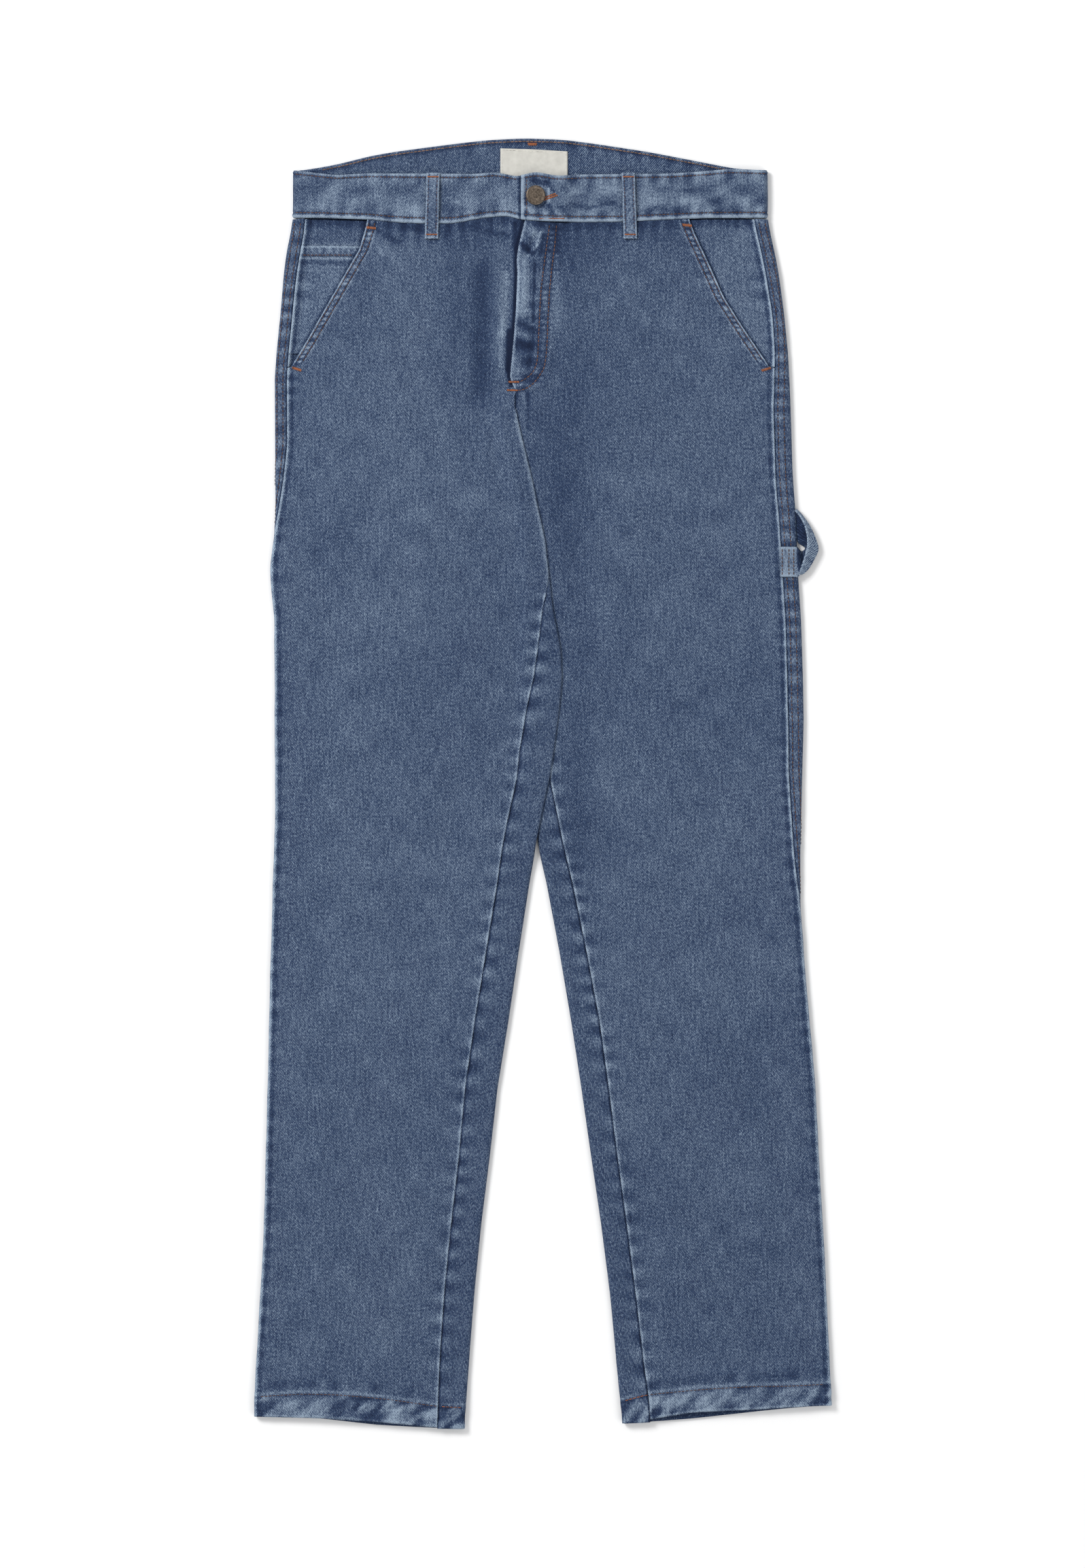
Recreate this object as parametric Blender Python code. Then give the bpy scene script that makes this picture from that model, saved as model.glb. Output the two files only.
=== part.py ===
"""Carpenter pants lying flat with the front up, as cloth solids.

Units: metres, +Z up, +Y towards the waist, +X towards the wearer's left leg.
The tables give millimetres: "down" is the distance below the top of the back
waistband, "across" the distance from the middle of the length, positive to
the wearer's left. The legs are flattened tubes of a front and a back panel.
The wearer's right leg lies over the left one at the crotch.
"""

import math
from collections import namedtuple

import bmesh
import bpy

MM = 0.001
HALF_LENGTH = 555.55

CLOTH = 1.2
HEM_CLOTH = 2.4
SEWN_GAP = 0.3
LAY_GAP = 0.35
POCKET_CLOTH = 1.1
FOLD_RADIUS = 3.2
CROWN = 0.6

BAND_WIDTH = 41.0
BAND_CLOTH = 2.6
BAND_HEIGHT = 7.0
BAND_LAP = BAND_CLOTH + SEWN_GAP
BAND_RIGHT_FOLD = -215.1
BAND_LEFT_FOLD = 194.0
BAND_UNDER_END = 11.0
BAND_OVER_END = -18.6

LOOP_WIDTH = 11.4
LOOP_CLOTH = 2.0
LOOP_ARCH = 0.9
LOOP_TOP = 30.6
LOOP_BOTTOM = 87.0
LABEL_CLOTH = 1.0
STRAP_CLOTH = 1.6

BUTTON_RADIUS = 8.4
BUTTON_ACROSS = -5.9
BUTTON_DOWN = 50.4
BUTTON_TILT = math.radians(14)

TOP_BLEND = 150.0
HEM_BLEND = 1040.0
TOP_ROW = 69.4
HEM_ROW = 1100.0

Edge = namedtuple("Edge", "down across")
Curve = namedtuple("Curve", "across down")
Inner = namedtuple("Inner", "down fold seam back_end")
Rise = namedtuple("Rise", "down front back height")
Level = namedtuple("Level", "down height")
Crease = namedtuple("Crease", "down0 across0 down1 across1 width height")
Strap = namedtuple("Strap", "ax ad az mx md mz bx bd bz")

RIGHT_OUTER = [
    Edge(69, -215.1), Edge(83, -217.4), Edge(97, -220.3), Edge(115, -222.7),
    Edge(150, -225.6), Edge(185, -229.1), Edge(206, -230.6), Edge(326, -230.0),
    Edge(346, -231.5), Edge(370, -234.2), Edge(389, -233.2), Edge(413, -230.8),
    Edge(590, -230.0), Edge(642, -232.1), Edge(730, -234.4), Edge(818, -236.7),
    Edge(935, -239.7), Edge(994, -242.6), Edge(1064, -247.3), Edge(1111, -248.2),
]
LEFT_OUTER = [
    Edge(69, 194.0), Edge(83, 196.6), Edge(97, 199.8), Edge(115, 203.3),
    Edge(150, 208.0), Edge(185, 211.5), Edge(220, 213.3), Edge(291, 215.6),
    Edge(326, 218.3), Edge(379, 220.3), Edge(414, 222.7), Edge(466, 224.4),
    Edge(502, 225.0), Edge(554, 223.6), Edge(613, 222.1), Edge(660, 222.1),
    Edge(701, 225.0), Edge(760, 229.7), Edge(818, 235.0), Edge(877, 237.9),
    Edge(994, 244.4), Edge(1053, 247.1), Edge(1111, 248.2),
]

# The distance of each side seam from its outer fold.
RIGHT_SIDE_SEAM = [
    Edge(69, 10.8), Edge(92, 12.1), Edge(112, 11.6), Edge(137, 10.6),
    Edge(266, 10.4), Edge(298, 6.5), Edge(321, 2.7), Edge(333, 0.9), Edge(350, 0.0),
]
LEFT_SIDE_SEAM = [
    Edge(69, 12.0), Edge(122, 11.2), Edge(152, 10.2), Edge(182, 11.2),
    Edge(212, 13.2), Edge(232, 14.7), Edge(311, 15.0), Edge(380, 13.3),
    Edge(493, 13.6), Edge(546, 11.8), Edge(585, 8.3), Edge(629, 4.1),
    Edge(652, 0.8), Edge(672, 0.0),
]
RIGHT_POCKET = [
    Edge(69, -150.6), Edge(80, -153.2), Edge(96, -158.0), Edge(119, -171.1),
    Edge(145, -185.9), Edge(174, -202.4), Edge(197, -216.4),
]
LEFT_POCKET = [
    Edge(69, 126.0), Edge(83, 131.3), Edge(103, 140.6), Edge(138, 156.5),
    Edge(166, 174.3), Edge(197, 195.3),
]

# fold: the inner fold, or the front's edge plus one fold radius where the
# front is still open. seam: length of cloth from the fold's top to the
# inseam, below zero round the fold. back_end: where the back panel ends on
# the floor while it is open, else None.
RIGHT_INNER = [
    Inner(69, -1.8, 0, -9.1), Inner(206, -1.8, 0, -9.1), Inner(211, -23.8, 0, -9.1),
    Inner(217, -21.0, 0, -9.1), Inner(222, -21.0, 0, -9.1), Inner(231, -21.0, 0, -9.1),
    Inner(241, -21.5, -4.7, -9.1), Inner(263, -16.5, -5.5, -9.1),
    Inner(290, -10.0, -6.5, -9.1), Inner(300, -7.6, -7.0, -26.0),
    Inner(306, -6.2, -7.0, -20.5), Inner(316, -4.0, -7.5, None),
    Inner(331, -0.8, -7.5, None), Inner(348, 2.9, -7.5, None),
    Inner(375, 5.6, -4.7, None), Inner(390, 7.4, 0.5, None),
    Inner(406, 9.0, 5.6, None), Inner(439, 15.6, 16.2, None),
    Inner(464, 16.9, 21.0, None), Inner(487, 15.1, 24.6, None),
    Inner(526, 10.0, 26.2, None), Inner(551, 6.2, 25.0, None),
    Inner(571, 1.5, 24.6, None), Inner(588, -1.9, 25.0, None),
    Inner(605, -5.2, 25.0, None), Inner(620, -7.4, 25.2, None),
    Inner(642, -11.3, 24.4, None), Inner(701, -20.5, 24.8, None),
    Inner(760, -29.3, 25.6, None), Inner(818, -38.7, 24.6, None),
    Inner(877, -45.4, 23.2, None), Inner(935, -52.7, 22.6, None),
    Inner(994, -58.6, 22.6, None), Inner(1053, -63.3, 22.0, None),
    Inner(1111, -68.4, 19.4, None),
]
LEFT_INNER = [
    Inner(69, -18.4, 0, -8.6), Inner(83, -21.7, 0, -8.6), Inner(93, -24.0, 0, -8.6),
    Inner(105, -25.5, 0, -8.6), Inner(117, -24.9, 0, -8.6), Inner(147, -26.1, 0, -8.6),
    Inner(177, -28.4, 0, -8.6), Inner(206, -31.3, 0, -8.6), Inner(211, -29.5, 0, -8.6),
    Inner(217, -26.8, 0, -8.6), Inner(222, -26.8, 0, -8.6), Inner(231, -33.0, 0, -8.6),
    Inner(241, -33.5, 0, -8.6), Inner(263, -28.0, 0, -8.6), Inner(290, -20.5, 0, -8.6),
    Inner(300, -18.0, 0, -8.6), Inner(306, -16.8, 0, -10.5), Inner(316, -13.4, -4.7, None),
    Inner(331, -8.8, -4.2, None), Inner(379, -8.5, -1.8, None), Inner(437, -8.5, 1.2, None),
    Inner(496, -8.2, 5.8, None), Inner(554, -7.0, 10.7, None),
    Inner(605, -4.4, 18.4, None), Inner(620, -1.6, 19.0, None),
    Inner(642, 3.5, 19.2, None), Inner(701, 14.6, 20.2, None),
    Inner(760, 24.6, 21.2, None), Inner(818, 33.4, 20.4, None),
    Inner(877, 41.9, 19.4, None), Inner(935, 50.4, 18.8, None),
    Inner(994, 58.0, 18.8, None), Inner(1053, 63.6, 20.2, None),
    Inner(1082, 66.8, 21.4, None), Inner(1111, 70.6, 19.8, None),
]

# How far the right leg's inner edge is raised over the left leg: front and
# back are shares of the full rise, height the room between its two walls.
OVERLAP = [
    Rise(217, 0.0, 0.0, 0.0), Rise(222, 1.0, 0.0, 1.2), Rise(231, 1.0, 0.0, 1.2),
    Rise(241, 1.0, 0.0, 3.0), Rise(263, 1.0, 0.0, 3.6), Rise(290, 1.0, 0.0, 4.2),
    Rise(300, 1.0, 0.0, 4.4), Rise(306, 1.0, 1.0, 4.4), Rise(588, 1.0, 1.0, 4.4),
    Rise(605, 1.0, 1.0, 4.6), Rise(620, 0.3, 0.3, 5.1), Rise(642, 0.0, 0.0, 5.4),
]
LAP_START = -3.5
LAP_END = 15.0
LAP_LAST = 217
FLY_LAP = [Level(211, 1.0), Level(LAP_LAST, 0.0)]
HEIGHTS = [
    Level(69, 5.8), Level(240, 5.7), Level(300, 5.4), Level(1060, 5.4),
    Level(1080, 6.8), Level(1111, 6.8),
]

FRONT_TOP = [
    Curve(-215, 69.1), Curve(-191, 68.9), Curve(-151, 70.3), Curve(-125, 73.0),
    Curve(-100, 74.1), Curve(-76, 73.8), Curve(-51, 68.9), Curve(-30, 67.1),
    Curve(-18, 70.9), Curve(2, 72.1), Curve(32, 72.7), Curve(69, 72.4),
    Curve(111, 70.3), Curve(141, 69.1), Curve(194, 69.1),
]
BAND_TOP = [
    Curve(-215, 27.9), Curve(-178, 32.2), Curve(-150, 30.5), Curve(-59, 31.1),
    Curve(-40, 29.6), Curve(-22, 33.4), Curve(-6, 29.6), Curve(13, 33.2),
    Curve(32, 31.6), Curve(111, 30.8), Curve(141, 28.7), Curve(162, 26.7),
    Curve(194, 27.9),
]
BACK_TOP = [
    Curve(-211, 28.1), Curve(-195, 25.8), Curve(-176, 22.3), Curve(-148, 15.2),
    Curve(-128, 11.7), Curve(-102, 8.2), Curve(-75, 4.7), Curve(-47, 1.5),
    Curve(-15, 0.0), Curve(18, 1.2), Curve(45, 4.7), Curve(91, 11.7),
    Curve(128, 18.8), Curve(164, 25.8), Curve(190, 28.1),
]
FRONT_HEM = [
    Curve(-248, 1100.5), Curve(-193, 1101.7), Curve(-142, 1104.9), Curve(-93, 1109.6),
    Curve(-68, 1111.1), Curve(66, 1106.2), Curve(94, 1102.6), Curve(129, 1096.6),
    Curve(183, 1094.3), Curve(209, 1092.5), Curve(248, 1090.8),
]
BACK_HEM = [
    Curve(-248, 1100.5), Curve(-219, 1100.7), Curve(-193, 1102.3), Curve(-142, 1108.1),
    Curve(-91, 1110.8), Curve(-68, 1111.1), Curve(66, 1106.6), Curve(89, 1105.6),
    Curve(129, 1102.6), Curve(183, 1096.6), Curve(209, 1093.9), Curve(248, 1090.8),
]

CREASES = [
    Crease(95, -62, 215, -54, 11, -0.9), Crease(110, -41, 205, -39, 8, 0.9),
    Crease(225, -44, 300, -36, 10, -0.8), Crease(250, 30, 330, 55, 16, -0.8),
    Crease(330, -120, 470, -40, 18, 0.7), Crease(520, -60, 640, -90, 16, -0.7),
    Crease(560, 60, 690, 110, 18, 0.7), Crease(760, -150, 900, -120, 20, -0.6),
    Crease(700, 150, 860, 180, 20, -0.6), Crease(900, 110, 1040, 130, 18, 0.6),
]

LABEL_ROWS = [Curve(-36.3, 8.8), Curve(-8, 9.6), Curve(21.7, 11.4)]
LABEL_END = 38.0

# The strap's lower edge (a), outer crease (m) and upper edge (b).
LOOSE_STRAP = [
    Strap(219.4, 351.6, 6.6, 220.4, 364.5, 6.6, 219.6, 377.6, 6.6),
    Strap(223.4, 354.8, 3.0, 228.6, 369.4, 5.0, 223.6, 374.0, 9.0),
    Strap(227.2, 353.9, 1.7, 236.2, 355.5, 5.0, 229.6, 362.0, 11.2),
    Strap(226.4, 349.0, 1.7, 232.6, 342.0, 5.0, 228.2, 345.5, 11.6),
    Strap(223.6, 338.0, 1.5, 229.0, 332.6, 4.8, 226.4, 334.6, 9.6),
    Strap(220.3, 327.0, 1.3, 222.8, 321.6, 4.2, 222.0, 322.6, 7.0),
]
PATCH_COLUMNS = (204.6, 209.5, 214.0, 217.4)
PATCH_TOP = 352.0
PATCH_BOTTOM = 378.0

STATIONS = [
    69.4, 83, 97, 117, 145, 174, 190, 197, 206, 211, 217, 222, 231, 241, 263, 290,
    300, 306, 316, 331, 348, 375, 390, 406, 437, 464, 487, 526, 551, 571, 588, 605,
    620, 642, 672, 701, 760, 818, 877, 935, 994, 1040, 1078, 1081, 1100,
]

DENIM_SHADES = {
    "front_right": (0.075, 0.112, 0.187),
    "front_left": (0.070, 0.106, 0.180),
    "back_right": (0.066, 0.099, 0.168),
    "back_left": (0.066, 0.099, 0.168),
    "pocket_facing_right": (0.112, 0.155, 0.230),
    "pocket_facing_left": (0.090, 0.127, 0.202),
    "coin_pocket": (0.100, 0.142, 0.216),
    "waistband": (0.100, 0.142, 0.220),
    "belt_loop_right": (0.115, 0.158, 0.235),
    "belt_loop_left": (0.115, 0.158, 0.235),
    "hammer_loop": (0.092, 0.130, 0.205),
}
LABEL_SHADE = (0.686, 0.679, 0.637)
BUTTON_SHADE = (0.150, 0.120, 0.105)

Leg = namedtuple("Leg", "out outer side_seam pocket inner")
RIGHT = Leg(-1, RIGHT_OUTER, RIGHT_SIDE_SEAM, RIGHT_POCKET, RIGHT_INNER)
LEFT = Leg(1, LEFT_OUTER, LEFT_SIDE_SEAM, LEFT_POCKET, LEFT_INNER)


def read(table, key, column=1):
    """Value of a table's column at key, straight between rows."""
    if key <= table[0][0]:
        return table[0][column]
    for low, high in zip(table, table[1:]):
        if key <= high[0]:
            share = (key - low[0]) / (high[0] - low[0])
            return low[column] + share * (high[column] - low[column])
    return table[-1][column]


def ease(value):
    """Smooth step from 0 to 1."""
    value = min(1.0, max(0.0, value))
    return value * value * (3 - 2 * value)


def crease_height(across, down):
    total = 0.0
    for crease in CREASES:
        run_down = crease.down1 - crease.down0
        run_across = crease.across1 - crease.across0
        length = math.hypot(run_down, run_across)
        along = (down - crease.down0) * run_down + (across - crease.across0) * run_across
        along /= length * length
        if not 0 < along < 1:
            continue
        off = (across - crease.across0) * run_down - (down - crease.down0) * run_across
        off /= length * crease.width
        if abs(off) < 1:
            total += crease.height * ease(1 - abs(off)) * math.sin(math.pi * along)
    return total


def crown(leg, across, down):
    """How much the top of a leg swells between its folds."""
    inner, outer = read(leg.inner, down), read(leg.outer, down)
    share = (across - inner) / (outer - inner)
    if not 0 < share < 1:
        return 0.0
    return CROWN * math.sin(math.pi * share) ** 2


def left_top(across, down):
    """Height of the left leg's upper face."""
    height = read(HEIGHTS, down) + crease_height(across, down) + crown(LEFT, across, down)
    over_fly = ease((LAP_END - across) / (LAP_END - LAP_START)) * read(FLY_LAP, down)
    return height + over_fly * (CLOTH + SEWN_GAP)


def lift_share(across, down):
    """How much of the rise over the left leg a point of the right leg has."""
    start = read(LEFT_INNER, down)
    return ease((across - start + 16) / 13)


def right_bottom(across, down, panel):
    column = 1 if panel == "front" else 2
    share = read(OVERLAP, down, column) * lift_share(across, down)
    return share * (read(HEIGHTS, down) + LAY_GAP)


def right_top(across, down):
    plain = read(HEIGHTS, down)
    share = read(OVERLAP, down, 1) * lift_share(across, down)
    room = read(OVERLAP, down, 3)
    raised = plain + LAY_GAP + room
    low_relief = crease_height(across, down) + crown(RIGHT, across, down)
    return plain + share * (raised - plain) + low_relief


def heights(leg, across, down, panel):
    """Bottom and top of a leg's cloth at one place."""
    if leg is LEFT:
        return 0.0, left_top(across, down)
    return right_bottom(across, down, panel), right_top(across, down)


def straight_length(leg, down):
    outer = read(leg.outer, down)
    inner = read(leg.inner, down)
    return abs(outer - inner) - 2 * FOLD_RADIUS


def round_length(leg, down):
    return 2 * (straight_length(leg, down) + math.pi * FOLD_RADIUS)


def back_edge(leg, down):
    """Where an open back panel ends on the floor, or None once it is closed."""
    open_rows = [row for row in leg.inner if row.back_end is not None]
    if down > open_rows[-1].down:
        return None
    return read(open_rows, down, 3)


def on_tube(leg, down, reach, inset, panel):
    """Point of a leg's section at a length of cloth from the inner fold's top.

    The path crosses the top outwards, goes round the outer fold, back along
    the floor and round the inner fold. inset is the depth below the outside.
    """
    straight = straight_length(leg, down)
    half_turn = math.pi * FOLD_RADIUS
    open_back = panel == "back" and back_edge(leg, down) is not None
    if not open_back:
        reach %= round_length(leg, down)
    inner_x = read(leg.inner, down) + leg.out * FOLD_RADIUS
    outer_x = read(leg.outer, down) - leg.out * FOLD_RADIUS
    if reach <= straight:
        across = inner_x + leg.out * reach
        return across, heights(leg, across, down, panel)[1] - inset
    reach -= straight
    if reach <= half_turn:
        low, high = heights(leg, outer_x, down, panel)
        angle = reach / FOLD_RADIUS
        across = outer_x + leg.out * (FOLD_RADIUS - inset) * math.sin(angle)
        return across, (low + high) / 2 + ((high - low) / 2 - inset) * math.cos(angle)
    reach -= half_turn
    if reach <= straight or open_back:
        across = outer_x - leg.out * reach
        return across, heights(leg, across, down, panel)[0] + inset
    reach -= straight
    low, high = heights(leg, inner_x, down, panel)
    angle = reach / FOLD_RADIUS
    across = inner_x - leg.out * (FOLD_RADIUS - inset) * math.sin(angle)
    return across, (low + high) / 2 - ((high - low) / 2 - inset) * math.cos(angle)


def side_reach(leg, down):
    """Length of cloth from the inner fold's top to the side seam."""
    straight = straight_length(leg, down)
    inset = read(leg.side_seam, down)
    if inset >= FOLD_RADIUS:
        return straight + FOLD_RADIUS - inset
    return straight + FOLD_RADIUS * math.asin(1 - inset / FOLD_RADIUS)


def across_reach(leg, down, across):
    """Length of cloth from the inner fold's top to a place on the top."""
    inner_x = read(leg.inner, down) + leg.out * FOLD_RADIUS
    return abs(across - inner_x)


def spread(stops, counts):
    """Lengths through the stops, each stretch cut into its count."""
    found = [stops[0]]
    for start, end, count in zip(stops, stops[1:], counts):
        found += [start + (end - start) * (i + 1) / count for i in range(count)]
    return found


def slope_span(leg, down):
    """Places where the top starts and stops rising: over the fly or the crotch."""
    if leg is LEFT:
        return (LAP_START, LAP_END) if down <= LAP_LAST else (2.0, 22.0)
    start = read(LEFT_INNER, down)
    tangent = read(RIGHT_INNER, down) - FOLD_RADIUS
    end = min(start - 3.0, tangent - 2.5)
    return end, end - 13.0


def front_reaches(leg, down):
    start = read(leg.inner, down, 2) + SEWN_GAP / 2
    end = side_reach(leg, down) - SEWN_GAP / 2
    if down <= leg.pocket[-1].down:
        end = min(end, across_reach(leg, down, read(leg.pocket, down)))
    fold_top = max(start, 0.0) + 2.0
    slope = [across_reach(leg, down, place) for place in slope_span(leg, down)]
    slope = [max(fold_top + 1.0 + i, reach) for i, reach in enumerate(slope)]
    before_end = min(end, straight_length(leg, down)) - 3.0
    return spread((start, fold_top, *slope, before_end, end), (2, 1, 3, 4, 2))


def back_reaches(leg, down):
    start = side_reach(leg, down) + SEWN_GAP / 2
    straight = straight_length(leg, down)
    half_turn = math.pi * FOLD_RADIUS
    floor_end = 2 * straight + half_turn
    around = round_length(leg, down)
    outer_x = read(leg.outer, down) - leg.out * FOLD_RADIUS
    edge = back_edge(leg, down)
    if edge is not None:
        end = straight + half_turn + abs(outer_x - edge)
    else:
        end = around + read(leg.inner, down, 2) - SEWN_GAP / 2
    slope = [straight + half_turn + abs(outer_x - place) for place in slope_span(leg, down)]
    last = min(floor_end - 1.0, end - 5.0)
    stops = (
        start,
        max(start + 0.8, straight),
        straight + half_turn + 1.0,
        min(slope[1], last - 3.0),
        min(slope[0], last - 2.0),
        last,
        min(around - 1.0, end - 2.0),
        end,
    )
    return spread(stops, (1, 4, 3, 3, 1, 3, 1))


def blended_down(down, across, top_curve, hem_curve, top_extra):
    """A station's distance, bent to the waist seam and the hem near them."""
    top = read(top_curve, across) + top_extra + SEWN_GAP
    if down < TOP_BLEND:
        share = (down - TOP_ROW) / (TOP_BLEND - TOP_ROW)
        return top + share * (TOP_BLEND - top)
    if down > HEM_BLEND:
        share = (down - HEM_BLEND) / (HEM_ROW - HEM_BLEND)
        return HEM_BLEND + share * (read(hem_curve, across) - HEM_BLEND)
    return down


def wall_at(down):
    return HEM_CLOTH if down > 1080 else CLOTH


def place(across, down, height):
    return (across * MM, (HALF_LENGTH - down) * MM, height * MM)


def new_object(name, shade, roughness=0.92, metallic=0.0):
    mesh = bpy.data.meshes.new(name)
    material = bpy.data.materials.new(name + "_cloth")
    material.use_nodes = True
    shader = material.node_tree.nodes["Principled BSDF"]
    shader.inputs["Base Color"].default_value = (*shade, 1.0)
    shader.inputs["Roughness"].default_value = roughness
    shader.inputs["Metallic"].default_value = metallic
    material.diffuse_color = (*shade, 1.0)
    mesh.materials.append(material)
    made = bpy.data.objects.new(name, mesh)
    bpy.context.scene.collection.objects.link(made)
    return made


def wall_object(name, outside, inside, shade):
    """One closed wall between two grids of points of the same size."""
    rows, columns = len(outside), len(outside[0])
    work = bmesh.new()
    grids = []
    for grid in (outside, inside):
        grids.append([[work.verts.new(place(*point)) for point in row] for row in grid])
    top, under = grids
    for i in range(rows - 1):
        for j in range(columns - 1):
            work.faces.new((top[i][j], top[i][j + 1], top[i + 1][j + 1], top[i + 1][j]))
            work.faces.new(
                (under[i][j], under[i + 1][j], under[i + 1][j + 1], under[i][j + 1])
            )
    rim = [(0, j) for j in range(columns)]
    rim += [(i, columns - 1) for i in range(1, rows)]
    rim += [(rows - 1, j) for j in range(columns - 2, -1, -1)]
    rim += [(i, 0) for i in range(rows - 2, 0, -1)]
    for (i, j), (k, m) in zip(rim, rim[1:] + rim[:1]):
        work.faces.new((top[i][j], under[i][j], under[k][m], top[k][m]))
    bmesh.ops.triangulate(work, faces=work.faces[:])
    bmesh.ops.recalc_face_normals(work, faces=work.faces[:])
    made = new_object(name, shade)
    work.to_mesh(made.data)
    work.free()
    return made


def panel_object(name, leg, panel):
    """A front or back leg panel, from the waist seam to the hem."""
    if panel == "front":
        reaches_of, top_curve, hem_curve, extra = front_reaches, FRONT_TOP, FRONT_HEM, 0
    else:
        reaches_of, top_curve, hem_curve = back_reaches, BACK_TOP, BACK_HEM
        extra = BAND_WIDTH + 0.9
    grids = ([], [])
    for down in STATIONS:
        reaches = reaches_of(leg, down)
        for grid, inset in zip(grids, (0.0, wall_at(down))):
            row = []
            for reach in reaches:
                across, height = on_tube(leg, down, reach, inset, panel)
                real = blended_down(down, across, top_curve, hem_curve, extra)
                row.append((across, real, height))
            grid.append(row)
    return wall_object(name, *grids, DENIM_SHADES[name])


def pocket_drop(leg, across, down, edge, full):
    """Depth of a pocket layer below the panel, from its seam inwards."""
    seam = read(leg.outer, down) - leg.out * read(leg.side_seam, down)
    mouth = read(leg.pocket, down)
    room = max(1.0, min(9.0, abs(mouth - seam) * 0.8))
    away = (seam - across) * leg.out
    return edge + (full - edge) * ease(away / room)


def pocket_layer(name, leg, rows, start_gap, inward, edge, full):
    """A pocket piece under the slanted mouth, sewn in at the side seam."""
    grids = ([], [])
    for down in rows:
        seam = read(leg.outer, down) - leg.out * read(leg.side_seam, down)
        start = seam - leg.out * start_gap
        end = read(leg.pocket, down) - leg.out * inward
        row = []
        for share in (0.0, 0.05, 0.12, 0.22, 0.42, 0.7, 1.0):
            across = start + share * (end - start)
            drop = pocket_drop(leg, across, down, edge, full)
            height = heights(leg, across, down, "front")[1] - drop
            real = blended_down(down, across, FRONT_TOP, FRONT_HEM, 0)
            row.append((across, real, height))
        grids[0].append(row)
        grids[1].append([(x, d, z - POCKET_CLOTH) for x, d, z in row])
    return wall_object(name, *grids, DENIM_SHADES[name])


def band_height(across):
    """Top of the front waistband, raised where its left end laps over."""
    return BAND_HEIGHT + BAND_LAP * ease((34 - across) / 20)


def top_columns(leg, panel):
    """Places across of a panel's columns at the waist seam."""
    reaches = front_reaches(leg, TOP_ROW) if panel == "front" else back_reaches(leg, TOP_ROW)
    found = []
    for reach in reaches:
        across, height = on_tube(leg, TOP_ROW, reach, 0.0, panel)
        if panel == "front" or height <= 0.0:
            found.append(across)
    return found


def band_stations():
    """The waistband's path: place across, turn of the fold, and layer."""
    right_fold = BAND_RIGHT_FOLD + BAND_HEIGHT / 2
    left_fold = BAND_LEFT_FOLD - BAND_HEIGHT / 2
    under = [x for x in top_columns(RIGHT, "front") if x > BAND_RIGHT_FOLD + 20]
    under += [-166.0, -182.0, -198.0]
    floor = top_columns(RIGHT, "back") + top_columns(LEFT, "back")
    floor = [x for x in floor if right_fold + 3 < x < left_fold - 3]
    over = [x for x in top_columns(LEFT, "front") if x > BAND_OVER_END + 1.0]
    over += [28.0, 36.0, 144.0, 162.0, 178.0]
    path = [(BAND_UNDER_END, 0, "under")]
    path += [(x, 0, "under") for x in sorted(under, reverse=True)]
    path += [(right_fold, turn, "fold") for turn in (0, 45, 90, 135, 180)]
    path += [(x, 0, "floor") for x in sorted(floor)]
    path += [(left_fold, turn, "fold") for turn in (180, 135, 90, 45, 0)]
    path += [(x, 0, "over") for x in sorted(over, reverse=True)]
    path.append((BAND_OVER_END, 0, "over"))
    return path


def band_point(station, inset, share):
    across, turn, layer = station
    half = BAND_HEIGHT / 2
    if layer == "fold":
        side = -1 if across < 0 else 1
        angle = math.radians(turn)
        height = half + (half - inset) * math.cos(angle)
        across += side * (half - inset) * math.sin(angle)
        start = read(BAND_TOP, across)
    elif layer == "floor":
        height = inset
        start = read(BACK_TOP, across)
    else:
        height = (BAND_HEIGHT if layer == "under" else band_height(across)) - inset
        start = read(BAND_TOP, across)
    if layer == "floor":
        end = start + BAND_WIDTH
    else:
        end = read(FRONT_TOP, across)
    return across, start + share * (end - start), height


def waistband_object():
    grids = ([], [])
    for station in band_stations():
        for grid, inset in zip(grids, (0.0, BAND_CLOTH)):
            grid.append([band_point(station, inset, share) for share in (0.0, 0.5, 1.0)])
    return wall_object("waistband", *grids, DENIM_SHADES["waistband"])


def belt_loop_object(name, top_across, bottom_across, leg):
    """A loop over the waistband, tacked at its top edge and below it."""
    grids = ([], [])
    length = LOOP_BOTTOM - LOOP_TOP
    for share in (0.0, 0.06, 0.2, 0.4, 0.6, 0.72, 0.79, 0.86, 0.93, 1.0):
        down = LOOP_TOP + share * length
        middle = top_across + share * (bottom_across - top_across)
        seam = read(FRONT_TOP, middle)
        panel = heights(leg, middle, down, "front")[1]
        drop = ease((down - seam) / 8) * (BAND_HEIGHT - panel)
        arch = LOOP_ARCH * ease(math.sin(math.pi * min(1.0, (down - LOOP_TOP) / 44)))
        height = BAND_HEIGHT - drop + SEWN_GAP + arch
        row = [(middle + side * LOOP_WIDTH / 2, down, height) for side in (-1, -0.4, 0.4, 1)]
        grids[0].append([(x, d, z + LOOP_CLOTH) for x, d, z in row])
        grids[1].append(row)
    return wall_object(name, *grids, DENIM_SHADES[name])


def label_object():
    grids = ([], [])
    for across in (-36.3, -18, -8, 7, 21.7):
        start = read(LABEL_ROWS, across)
        row = []
        for share in (0.0, 0.4, 1.0):
            row.append((across, start + share * (LABEL_END - start), BAND_CLOTH + SEWN_GAP))
        grids[1].append(row)
        grids[0].append([(x, d, z + LABEL_CLOTH) for x, d, z in row])
    return wall_object("label", *grids, LABEL_SHADE)


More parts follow.
